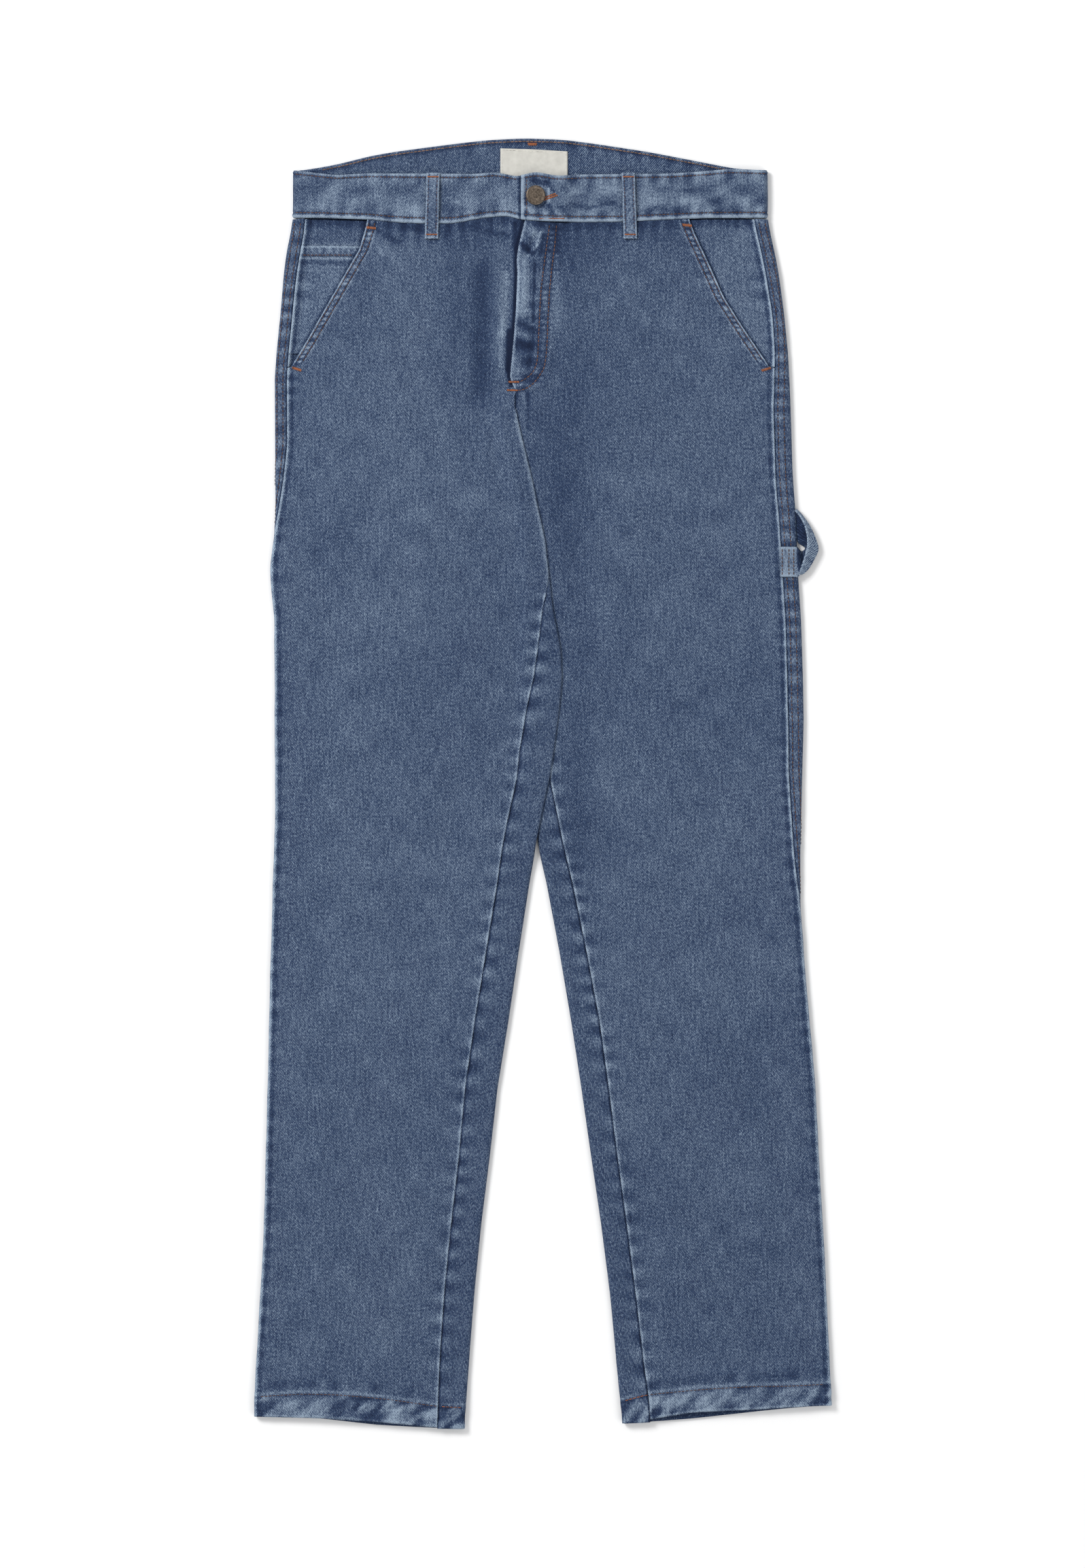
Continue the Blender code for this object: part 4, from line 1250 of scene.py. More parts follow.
@dataclass
class Waistband:
    """The waistband: one strip that goes round and laps at the front.

    Attributes:
        cloth: thickness of its plies together.
        height: height of its upper face.
        width: from its top edge to the waist seam.
        right_fold, left_fold: place across of its folds.
        under_end, over_end: place across of its lower and upper lapped end.
        path: steps round it: place across, turn of the fold and which stretch.
    """

    cloth: float = 2.6
    height: float = 7.0
    width: float = 41.0
    right_fold: float = -215.1
    left_fold: float = 194.0
    under_end: float = 11.0
    over_end: float = -18.6
    path: list[tuple[float, float, int]] = field(default_factory=list)

    def top(self, across: Array) -> Array:
        """Height of the front's upper face where the left end laps over."""
        return self.height + (self.cloth + SEWN_GAP) * ease((34 - across) / 20)

    def layout(self) -> None:
        """Fills the path: place across, turn of the fold and layer, step by step."""
        half = self.height / 2
        right, left = self.right_fold + half, self.left_fold - half
        self.path = [(x, 0, 0) for x in np.arange(self.under_end, -40, -3.0)]
        self.path += [(x, 0, 0) for x in np.arange(-40, right, -2.6)]
        self.path += [(right, turn, 1) for turn in np.linspace(0, 180, 13)]
        self.path += [(x, 0, 2) for x in np.arange(right + 3, left - 2, 3.0)]
        self.path += [(left, turn, 3) for turn in np.linspace(180, 0, 13)]
        self.path += [(x, 0, 4) for x in np.arange(left - 2.6, self.over_end, -2.2)]
        self.path.append((self.over_end, 0, 4))

    def place(self, inset: Array, share: Array) -> tuple[Array, Array, Array]:
        """Across, distance down and height of the strip at one depth.

        Args:
            inset: depth below the outside, below zero for relief.
            share: 0 at the top edge to 1.

        Returns:
            Across, distance down and height, in mm.
        """
        across, turn, layer = (np.array(c, float)[:, None] for c in zip(*self.path))
        half = self.height / 2
        angle = np.radians(turn)
        side = np.where(layer == 1, -1.0, 1.0)
        on_fold = (layer == 1) | (layer == 3)
        on_floor = layer == 2
        height = np.where(layer == 4, self.top(across), self.height) - inset
        height = np.where(on_fold, half + (half - inset) * np.cos(angle), height)
        height = np.where(on_floor, inset, height)
        x = np.where(on_fold, across + side * (half - inset) * np.sin(angle), across)
        start = np.where(on_floor, BACK_TOP(x), BAND_TOP(x))
        end = np.where(on_floor, start + self.width, FRONT_TOP(x))
        return x, start + share * (end - start), height

    def build(self, material: bpy.types.Material) -> bpy.types.Object:
        """The band as one closed shell with rolled edges.

        Args:
            material: its finish.

        Returns:
            The piece.
        """
        self.layout()
        share = np.linspace(0, 1, 27)[None, :]
        across, down, _ = self.place(np.zeros((len(self.path), 27)), share)
        layer = np.array([step[2] for step in self.path])[:, None]
        from_top, from_end = share * self.width, (1 - share) * self.width
        front = (layer == 4) | (layer == 0)
        wave = puckers(across, from_top - 2, 15, 7, 81) + puckers(across, from_end - 3, 13, 8, 82)
        relief = 0.22 * noise(across, down, 18, 83) + 0.26 * wave
        relief = relief + 0.35 * bump((from_top - 1.5) / 3) + 0.45 * bump((from_end - 2) / 3)
        groove = bump((from_top - 3.2) / 1.4) + bump((from_end - 4.6) / 1.6)
        relief = relief - 0.35 * groove
        wash_and_shading = 0.14 + 0.30 * wave + 0.85 * bump((from_end - 0.9) / 2.2)
        wash_and_shading = wash_and_shading + 0.45 * bump((from_top - 0.6) / 2.2)
        # Painted shade in the grooves of the stitching.
        wash_and_shading = wash_and_shading - 0.36 * groove + wash_and_shading_map(across, down)
        wash_and_shading = wash_and_shading + 0.26 * noise(across * 0.7 + down * 0.4, down, 9, 84)
        wash_and_shading = wash_and_shading + 0.20 * noise(across * 0.45, down, 6, 86) * bump((from_end - 13) / 12)
        end = across - self.over_end
        on_end = (layer == 4) & (end < 30)
        roll = bump((end - 1.2) / 2.6) * on_end
        relief = relief + 0.5 * roll - 0.4 * bump((end - 4.6) / 1.5) * on_end
        # A pale rolled end, and painted shade in its stitch groove.
        wash_and_shading = wash_and_shading + 0.85 * roll - 0.40 * bump((end - 4.6) / 1.4) * on_end
        wash_and_shading = wash_and_shading + stroke_map(BAND_STROKES, across, down) * (layer == 4)
        relief = relief + 0.6 * stroke_map(BAND_STROKES, across, down) * (layer == 4)
        shadow = bump((across - self.over_end + 0.6) / 2.2) * (layer == 0)
        wash_and_shading = wash_and_shading - 0.70 * shadow
        relief = np.where(front | (layer == 3) | (layer == 1), relief, 0.0)
        edge = ease(np.minimum(share, 1 - share) / 0.05)
        inset = 0.9 * (1 - edge) - relief * edge
        under = self.cloth - 0.5 * (1 - edge)
        outside = world(*self.place(inset, share))
        deep = under + 0 * across
        # The back's inner face shows above the front: it gets the fine relief.
        inner = 0.16 * noise(across, down, 16, 85) + 0.2 * wave
        inner = inner + 0.3 * bump((from_top - 0.8) / 1.6) - 0.2 * bump((from_top - 2.5) / 1.2)
        deep = np.where(layer == 2, deep + np.minimum(inner * edge, 0.35), deep)
        inside = world(*self.place(deep, share))
        cut_x = np.cumsum(np.full(len(self.path), 2.6))[:, None] + 0 * down
        cut = np.stack([cut_x, share * self.width + 0 * down], -1)
        made = shell("waistband_cloth", outside, inside, wash_and_shading, cut, material)
        back_wash_and_shading = -0.02 + 0.22 * wave + 0.2 * bump(from_top / 1.4)
        # Painted shade in the stitch groove of the back's inner face.
        back_wash_and_shading = back_wash_and_shading - 0.34 * bump((from_top - 3.4) / 2.6) + wash_and_shading_map(across, down)
        both = np.concatenate([np.where(layer == 2, -0.1, wash_and_shading).reshape(-1),
                               back_wash_and_shading.reshape(-1)])
        made.data.attributes["wash_and_shading"].data.foreach_set("value", both.astype(np.float32))
        return made


BAND = Waistband()


@dataclass(frozen=True)
class BeltLoop:
    """A belt loop over the waistband, with its long edges turned in.

    Attributes:
        name: the node that it stands for.
        leg: the leg whose front its lower end is sewn to.
        first, last: place across of its upper and lower end.
        top, bottom: distance down of its ends.
        half_width: half its width.
        cloth: its thickness.
    """

    name: str
    leg: Leg
    first: float
    last: float
    top: float = 30.6
    bottom: float = 87.0
    half_width: float = 5.7
    cloth: float = 1.6

    def middle(self, share: Array) -> tuple[Array, Array]:
        """Across and down of its middle line, at shares of its length."""
        across = self.first + share * (self.last - self.first)
        return across, self.top + share * (self.bottom - self.top)

    def base(self, middle: Array, down: Array) -> Array:
        """Height of its underside, which arches over the waistband.

        Args:
            middle: places across of its middle line.
            down: a station's distances down.

        Returns:
            Heights, in mm.
        """
        panel = heights(self.leg, middle, down, Panel.FRONT)[1]
        drop = ease((down - FRONT_TOP(middle)) / 8) * (BAND.height - panel)
        arch = 0.9 * ease(np.sin(math.pi * np.minimum(1, (down - self.top) / 44)))
        return BAND.height - drop + SEWN_GAP + arch + 0.35

    def build(self, material: bpy.types.Material) -> bpy.types.Object:
        """The loop as one closed shell.

        Args:
            material: its finish.

        Returns:
            The piece.
        """
        share = np.linspace(0, 1, 70)[:, None]
        side = np.linspace(-1, 1, 15)[None, :]
        out = np.abs(side)
        middle, down = self.middle(share)
        base = self.base(middle, down)
        across = middle + side * (self.half_width + 0.25 * noise(down, 0 * down, 12, 91))
        down = down + 0 * across
        rib = 0.35 * bump((out - 0.88) / 0.16) - 0.25 * bump((out - 0.66) / 0.12)
        dip = -0.5 * (bump((share - 0.055) / 0.05) + bump((share - 0.93) / 0.05))
        edge = -0.7 * ease((out - 0.9) / 0.1)
        swell = 0.25 * (1 - side**2) + 0.12 * noise(across, down, 7, 92)
        height = base + self.cloth + rib + dip + edge + swell
        wash_and_shading = 0.20 + 0.42 * bump((out - 0.9) / 0.2) + 0.24 * noise(across, down, 8, 93)
        # Painted shade in the grooves along the stitch rows.
        wash_and_shading = wash_and_shading - 0.30 * bump((out - 0.6) / 0.2)
        wash_and_shading = wash_and_shading + 0.2 * bump(share / 0.04) + 0.3 * bump((1 - share) / 0.04)
        cut = np.stack([across * 0.8 + down * 0.6, down * 0.8 - across * 0.6], -1)
        return shell(f"{self.name}_cloth", world(across, down, height),
                     world(across, down, base + 0 * across), wash_and_shading, cut, material)


BELT_LOOPS = (
    BeltLoop("belt_loop_right", RIGHT, -94.1, -95.5),
    BeltLoop("belt_loop_left", LEFT, 73.8, 75.6),
)


class HammerLoop:
    """The strap on the left leg's side seam: a sewn patch, then a loose loop."""

    PATCH = (204.6, 207.2, 209.8, 212.4, 215.0, 217.4)
    ENDS = (352.0, 378.0)
    CLOTH = 1.6
    # Lower edge, outer crease and upper edge, each across, down and height.
    LOOSE = [
        ((219.2, 352.4, 6.4), (220.6, 374.6, 6.4), (219.8, 377.7, 6.8)),
        ((223.0, 355.8, 2.4), (227.4, 372.6, 5.0), (222.6, 369.4, 8.4)),
        ((225.9, 353.8, 1.8), (234.2, 361.2, 5.0), (226.2, 358.0, 11.0)),
        ((225.4, 351.6, 1.6), (237.0, 353.6, 5.0), (227.6, 350.2, 11.4)),
        ((219.6, 347.4, 1.5), (234.8, 344.6, 4.8), (227.4, 342.4, 10.6)),
        ((217.0, 336.0, 1.4), (229.9, 334.4, 4.8), (225.4, 333.2, 9.0)),
        ((216.2, 327.0, 1.3), (223.8, 325.4, 4.4), (221.4, 325.2, 6.4)),
        ((215.0, 321.8, 1.3), (218.8, 319.6, 3.4), (217.2, 320.6, 4.4)),
    ]

    def middle(self) -> Array:
        """The strap's middle surface: rows along it, nine columns across.

        Returns:
            Points, in mm.
        """
        rows = []
        for across in self.PATCH:
            down = np.linspace(*self.ENDS, 9)
            reach = across_reach(LEFT, down, np.array(across))
            x, z = on_tube(LEFT, down, reach, -SEWN_GAP - 0.35 - self.CLOTH / 2, Panel.BACK)
            rows.append(np.stack([x, down, z], -1))
        share = np.linspace(0, 1, 5)[:, None]
        for low, crease, high in np.array(self.LOOSE):
            first = low + share * (crease - low)
            second = crease + share[1:] * (high - crease)
            rows.append(np.concatenate([first, second]))
        return np.array(rows)

    def build(self, material: bpy.types.Material) -> bpy.types.Object:
        """The strap as a closed shell, smoothed along its length.

        Args:
            material: its finish.

        Returns:
            The piece.
        """
        rows = self.middle()
        fine_u = np.linspace(0, len(rows) - 1, 96)
        fine_v = np.linspace(0, 8, 25)
        grid = self.smooth(rows, fine_u, 0)
        grid = self.smooth(grid, fine_v, 1)
        along, over = np.gradient(grid, axis=0), np.gradient(grid, axis=1)
        normal = np.cross(along, over)
        normal /= np.linalg.norm(normal, axis=-1, keepdims=True)
        side = np.linspace(-1, 1, 25)[None, :]
        length = fine_u[:, None] + 0 * side
        swell = 0.30 * bump((np.abs(side) - 0.9) / 0.12) - 0.22 * bump((np.abs(side) - 0.72) / 0.1)
        swell = swell - 0.4 * ease((np.abs(side) - 0.94) / 0.06)
        half = (self.CLOTH / 2) + swell[..., None]
        loose = ease((length - 5.2) / 0.8)
        shaded_half = ease((0.02 - side) / 0.2)
        # The loose part's lower half, seen through the loop, is in painted shade.
        wash_and_shading = 0.34 + 0.35 * bump((np.abs(side) - 0.92) / 0.2) - 0.95 * loose * shaded_half
        wash_and_shading = wash_and_shading + 0.24 * noise(length * 9, side * 12, 8, 95)
        cut = np.stack([length * 5, side * 12 + 0 * length], -1)
        outside = grid + normal * half
        inside = grid - normal * (self.CLOTH / 2 - 0.1)
        made = shell("hammer_loop_cloth", world(*np.moveaxis(outside, -1, 0)),
                     world(*np.moveaxis(inside, -1, 0)), wash_and_shading, cut, material)
        # Past its fold the strap shows its other face, its lower half in painted shade.
        turned = 0.30 + 0.35 * bump((np.abs(side) - 0.92) / 0.2) - 0.8 * shaded_half
        both = np.concatenate([wash_and_shading.reshape(-1), (turned + 0 * wash_and_shading).reshape(-1)])
        made.data.attributes["wash_and_shading"].data.foreach_set("value", both.astype(np.float32))
        return made

    @staticmethod
    def smooth(grid: Array, places: Array, axis: int) -> Array:
        """Points between a grid's rows, on a curve through them.

        Args:
            grid: rows of points.
            places: where, along the rows.
            axis: the direction to smooth.

        Returns:
            The points between.
        """
        grid = np.moveaxis(grid, axis, 0)
        last = len(grid) - 1
        low = np.clip(np.floor(places).astype(int), 0, last - 1)
        t = (places - low).reshape(-1, *([1] * (grid.ndim - 1)))
        p0, p1 = grid[np.maximum(low - 1, 0)], grid[low]
        p2, p3 = grid[low + 1], grid[np.minimum(low + 2, last)]
        found = 0.5 * (2 * p1 + (p2 - p0) * t + (2 * p0 - 5 * p1 + 4 * p2 - p3) * t**2
                       + (3 * p1 - p0 - 3 * p2 + p3) * t**3)
        return np.moveaxis(found, 0, axis)


class Sewing:
    """Collects stitches and makes one mesh of each thread."""

    SIDES = 6
    # Along the stitch, share of its width, and share of its rise.
    RINGS = ((0.0, 0.35, -0.35), (0.22, 0.9, 0.75), (0.5, 1.0, 1.0), (0.78, 0.9, 0.75),
             (1.0, 0.35, -0.35))
    RISE = 0.12

    def __init__(self) -> None:
        """Starts with no stitches."""
        self.runs: dict[Thread, list[Array]] = {thread: [] for thread in Thread}

    def stitch(self, thread: Thread, start: Array, end: Array, up: Array,
               width: float, rise: float) -> None:
        """Adds stitches as short rounded bars.

        Args:
            thread: the thread.
            start: first points, in mm.
            end: last points.
            up: unit normals.
            width: thickness of the stitch.
            rise: how far it stands up.
        """
        run = end - start
        length = np.linalg.norm(run, axis=-1, keepdims=True)
        run = run / np.maximum(length, 1e-6)
        side = np.cross(run, up)
        rings = []
        for along, size, lift in self.RINGS:
            centre = start + run * length * along
            ring = []
            for turn in range(self.SIDES):
                angle = 2 * math.pi * turn / self.SIDES
                ring.append(centre + side * (math.cos(angle) * width * size / 2)
                            + up * (rise * lift + math.sin(angle) * width * size * 0.35))
            rings.append(np.stack(ring, axis=1))
        self.runs[thread].append(np.stack(rings, axis=1))

    def along(self, thread: Thread, line: Array, up: Array, length: float = 2.7,
              gap: float = 0.6, width: float = 0.85) -> None:
        """Sews along a fine line of points, in mm.

        Args:
            thread: the thread.
            line: fine points along the row, in mm.
            up: unit normals.
            length: length, in mm.
            gap: space between stitches.
            width: thickness of the stitch.
        """
        steps = np.linalg.norm(np.diff(line, axis=0), axis=1)
        track = np.concatenate([[0], np.cumsum(steps)])
        starts = np.arange(0.4, track[-1] - length, length + gap)
        ends = starts + length

        def at(places: Array, values: Array) -> Array:
            """Values at places along the line."""
            return np.stack([np.interp(places, track, values[:, k]) for k in range(3)], -1)

        normal = at((starts + ends) / 2, up)
        normal /= np.linalg.norm(normal, axis=-1, keepdims=True)
        self.stitch(thread, at(starts, line), at(ends, line), normal, width, self.RISE)

    def bartack(self, centre: Array, along: Array, across: Array, up: Array, length: float,
                width: float) -> None:
        """A bar of close satin stitches. Directions are unit vectors.

        Args:
            centre: its middle, in mm.
            along: direction of the bar.
            across: direction of its stitches.
            up: unit normal.
            length: length, in mm.
            width: length of its stitches.
        """
        count = max(6, int(length / 0.55))
        place = (np.arange(count) / (count - 1) - 0.5)[:, None] * length
        lean = across * width / 2 + along * 0.25
        middle = centre + along * place
        self.stitch(Thread.BARTACK, middle - lean, middle + lean,
                    np.tile(up, (count, 1)), 0.62, 0.3)

    def build(self, materials: dict[Thread, bpy.types.Material]) -> list[bpy.types.Object]:
        """One object for each thread that was used.

        Args:
            materials: the finish of each thread.

        Returns:
            The pieces.
        """
        made = []
        for thread, runs in self.runs.items():
            if not runs:
                continue
            bars = np.concatenate(runs)
            count = len(bars)
            sides = self.SIDES
            each = sides * len(self.RINGS)
            base = np.arange(count)[:, None] * each
            faces = []
            for ring in range(0, each - sides, sides):
                for turn in range(sides):
                    other = (turn + 1) % sides
                    faces.append(base + np.array([[ring + turn, ring + other,
                                                   ring + sides + other, ring + sides + turn]]))
            quads = np.concatenate(faces).tolist()
            quads += (base + np.arange(sides)[None, ::-1]).tolist()
            quads += (base + np.arange(each - sides, each)[None, :]).tolist()
            points = bars.reshape(-1, 3)
            points = world(points[:, 0], points[:, 1], points[:, 2])
            name = f"thread_{thread.name.lower()}"
            piece = new_object(name, points, quads, materials[thread])
            tint = np.repeat(hashed(np.arange(count), np.zeros(count), 5), each)
            set_attribute(piece, "tint", tint)
            LOG.info("%s: %d stitches", name, count)
            made.append(piece)
        return made


UP = np.array([0.0, 0.0, 1.0])
ALONG = np.array([1.0, 0.0, 0.0])
DOWN = np.array([0.0, 1.0, 0.0])


def flat_up(count: int) -> Array:
    """Upward normals for a line that lies flat."""
    return np.tile(UP, (count, 1))


def front_line(leg: Leg, across: Array, down: Array, lift: float = 0.05) -> Array:
    """Points on a front's surface, with its relief.

    Args:
        leg: the leg.
        across: places across, in mm.
        down: distances down.
        lift: how far above the surface.

    Returns:
        Points, in mm.
    """
    station = np.asarray(down, float)
    across = np.asarray(across, float)
    relief, _ = front_relief(leg, across, station, station)
    height = heights(leg, across, station, Panel.FRONT)[1] + relief + lift
    return np.stack([across, station, height], -1)


def leg_stitching(sewing: Sewing) -> None:
    """Topstitching on the panels: pockets, fly, side seams and hems.

    Args:
        sewing: collects the stitches.
    """
    for leg in (RIGHT, LEFT):
        down = np.arange(73, 194, 0.8)
        for inset in MOUTH_ROWS:
            line = front_line(leg, leg.pocket(down) - leg.out * inset, down)
            sewing.along(Thread.TOPSTITCH, line, flat_up(len(line)))
        # Two rows on the back's strip, from the waist round the fold to the hem.
        down = np.arange(73.0, 1070.0, 1.0)
        for away in SIDE_ROWS:
            reach = side_reach(leg, down) + away
            x, _ = on_tube(leg, down, reach, 0.0, Panel.BACK)
            relief, _ = back_relief(leg, x, down, down, reach, np.ones(len(down), bool))
            x, z = on_tube(leg, down, reach, -relief - 0.05, Panel.BACK)
            x2, z2 = on_tube(leg, down, reach, -relief - 0.5, Panel.BACK)
            seen = np.where(z > heights(leg, x, down, Panel.BACK)[0] + 2.0)[0]
            line = np.stack([x, down, z], -1)
            up = np.stack([x2 - x, 0 * x, z2 - z], -1)
            up /= np.linalg.norm(up, axis=-1, keepdims=True)
            for run in np.split(seen, np.where(np.diff(seen) > 1)[0] + 1):
                if len(run) > 8:
                    sewing.along(Thread.TOPSTITCH, line[run], up[run])
    for rows in (FLY_STITCH_OUTER, FLY_STITCH_INNER):
        points = np.array(rows, float)
        fine = np.linspace(0, len(points) - 1, 240)
        points = HammerLoop.smooth(points, fine, 0)
        line = front_line(LEFT, points[:, 0], points[:, 1])
        sewing.along(Thread.FLY, line, flat_up(len(line)))
    hem_stitching(sewing)


def hem_stitching(sewing: Sewing) -> None:
    """One row round each hem, on the front and on the back's strips."""
    for leg in (RIGHT, LEFT):
        station = np.full(400, 1081.5)
        inseam = float(leg.inseam_across(np.array(1085.0)))
        side = float(leg.outer(np.array(1085.0))) - leg.out * 3.4
        inner = float(leg.fold(np.array(1085.0))) + leg.out * 3.6
        for start, end in ((inseam + leg.out * 0.6, side), (inner, inseam - leg.out * 0.6)):
            across = np.linspace(start, end, 400)
            real = HEM_STITCH(across)
            relief, _ = front_relief(leg, across, station, real)
            height = heights(leg, across, station, Panel.FRONT)[1] + relief + 0.02
            line = np.stack([across, real, height], -1)
            thread = Thread.TOPSTITCH if abs(end - start) > 60 else Thread.BARTACK
            sewing.along(thread, line, flat_up(400), length=2.9, gap=0.5, width=0.7)


def waist_stitching(sewing: Sewing) -> None:
    """Rows along the waistband, its end, the loops, the buttonhole and the label.

    Args:
        sewing: collects the stitches.
    """
    for start, end, is_over in ((-213.0, -19.6, False), (192.0, -17.0, True)):
        across = np.linspace(start, end, 600)
        top = BAND.top(across) if is_over else np.full(600, BAND.height)
        for from_top in BAND_ROWS:
            first, last = BAND_TOP(across), FRONT_TOP(across)
            down = first + (last - first) * from_top / BAND.width
            line = np.stack([across, down, top - 0.1], -1)
            sewing.along(Thread.TOPSTITCH, line, flat_up(600))
    down = np.linspace(36, 66.5, 60)
    across = np.interp(down, (36, 48, 66.5), (-13.4, -14.2, -13.2))
    line = np.stack([across, down, BAND.top(across) - 0.1], -1)
    sewing.along(Thread.TOPSTITCH, line, flat_up(60))
    across = np.linspace(-190, 172, 900)
    line = np.stack([across, BACK_TOP(across) + 2.5, np.full(900, 2.72)], -1)
    sewing.along(Thread.TAN, line, flat_up(900), length=3.0, gap=0.35, width=1.0)
    for down, width in ((4.6, 7.4), (5.6, 6.6)):
        sewing.bartack(np.array([-8.8, down, 2.9]), ALONG, DOWN, UP, width, 1.6)
    for loop in BELT_LOOPS:
        loop_stitching(sewing, loop)
    for across, down, leg, turn in ((-147.5, 77.6, RIGHT, 0.1), (-211.5, 199.0, RIGHT, 0.3),
                                    (124.4, 75.4, LEFT, 0.1), (192.5, 199.2, LEFT, -0.3)):
        spot = front_line(leg, np.array([across]), np.array([down]))[0] + UP * 0.1
        along = np.array([math.cos(turn), math.sin(turn), 0])
        other = np.array([-math.sin(turn), math.cos(turn), 0])
        sewing.bartack(spot, along, other, UP, 7.6, 2.4)
    for across, down in ((-24.8, 210.2), (-26.0, 217.2)):
        spot = front_line(LEFT, np.array([across]), np.array([down]))[0] + UP * 0.1
        sewing.bartack(spot, ALONG, DOWN, UP, 8.5, 1.8)
    sewing.bartack(np.array([8.0, 70.0, 9.9]), ALONG, DOWN, UP, 21.0, 1.1)
    lean = math.radians(-20)
    along = np.array([math.cos(lean), math.sin(lean), 0])
    other = np.array([-math.sin(lean), math.cos(lean), 0])
    for side, length in ((-0.9, 10.0), (0.9, 12.0)):
        spot = np.array([6.6, 51.2, 10.15]) + side * other
        sewing.bartack(spot, along, other, UP, length, 1.5)
    across = np.linspace(-206.5, -163.5, 110)
    lift = heights(RIGHT, across, 101.0, Panel.FRONT)[1] + 0.50
    line = np.stack([across, 101.0 + 0 * across, lift], -1)
    sewing.along(Thread.TOPSTITCH, line, flat_up(110))
    hammer_stitching(sewing)
    label_stitching(sewing)


def loop_stitching(sewing: Sewing, loop: BeltLoop) -> None:
    """A bartack at each end of a belt loop and a row along each edge.

    Args:
        sewing: collects the stitches.
        loop: the belt loop.
    """
    for down, share, is_low in ((34.0, 0.06, False), (83.5, 0.94, True)):
        middle = loop.first + share * (loop.last - loop.first)
        height = BAND.height + 2.75
        if is_low:
            place = np.array(middle), np.array(down)
            height = float(heights(loop.leg, *place, Panel.FRONT)[1]) + 2.3
        sewing.bartack(np.array([middle, down, height]), ALONG, DOWN, UP, 9.0, 1.3)
    middle, down = loop.middle(np.linspace(0.10, 0.90, 160))
    height = loop.base(middle, down) + loop.cloth
    for side in (-3.7, 3.7):
        line = np.stack([middle + side, down, height], -1)
        sewing.along(Thread.TOPSTITCH, line, flat_up(160), width=0.5)


def label_stitching(sewing: Sewing) -> None:
    """A cream row just inside the label's edges.

    Args:
        sewing: collects the stitches.
    """
    top = np.linspace(-34.8, 20.2, 120)
    line = np.stack([top, np.interp(top, (-36, 22), (10.2, 12.7)), 0 * top + 3.85], -1)
    sewing.along(Thread.CREAM, line, flat_up(120), length=2.2, gap=0.7, width=0.5)
    for across in (-34.9, 20.3):
        down = np.linspace(11.5, 30, 50)
        line = np.stack([across + 0 * down, down, 0 * down + 3.85], -1)
        sewing.along(Thread.CREAM, line, flat_up(50), length=2.2, gap=0.7, width=0.5)


def hammer_stitching(sewing: Sewing) -> None:
    """Rows that hold the strap's patch on the side seam."""
    down = np.linspace(353.5, 376.5, 60)
    for across in (206.2, 212.0, 216.2):
        reach = across_reach(LEFT, down, np.array(across))
        x, z = on_tube(LEFT, down, reach, -SEWN_GAP - 0.4 - HammerLoop.CLOTH, Panel.BACK)
        line = np.stack([x, down, z], -1)
        sewing.along(Thread.TOPSTITCH, line, flat_up(60))


@dataclass(frozen=True)
class Label:
    """The plain cream patch inside the back waistband.

    Attributes:
        start, end: place across of its sides.
        bottom: distance down of its lower edge, behind the front waistband.
        base: height of its underside.
        cloth: its thickness.
    """

    start: float = -36.3
    end: float = 21.7
    bottom: float = 38.0
    base: float = 2.95
    cloth: float = 0.85

    def build(self, material: bpy.types.Material) -> bpy.types.Object:
        """The patch as one closed shell with a soft edge.

        Args:
            material: its finish.

        Returns:
            The piece.
        """
        across = np.linspace(self.start, self.end, 60)[None, :]
        share = np.linspace(0, 1, 32)[:, None]
        top = np.interp(across, (self.start, -8, self.end), (8.8, 9.6, 11.4))
        down = top + share * (self.bottom - top)
        across = across + 0 * down
        edge = np.minimum(np.minimum(across - self.start, self.end - across), down - top)
        relief = 0.14 * noise(across, down, 14, 97) + 0.10 * bump((edge - 1.2) / 1.2)
        height = self.base + self.cloth + relief * ease(edge / 1.5)
        height = height - 0.3 * (1 - ease(edge / 0.8))
        return shell("label_patch", world(across, down, height),
                     world(across, down, self.base + 0 * across), 0.0 * across,
                     np.stack([across, down], -1), material)


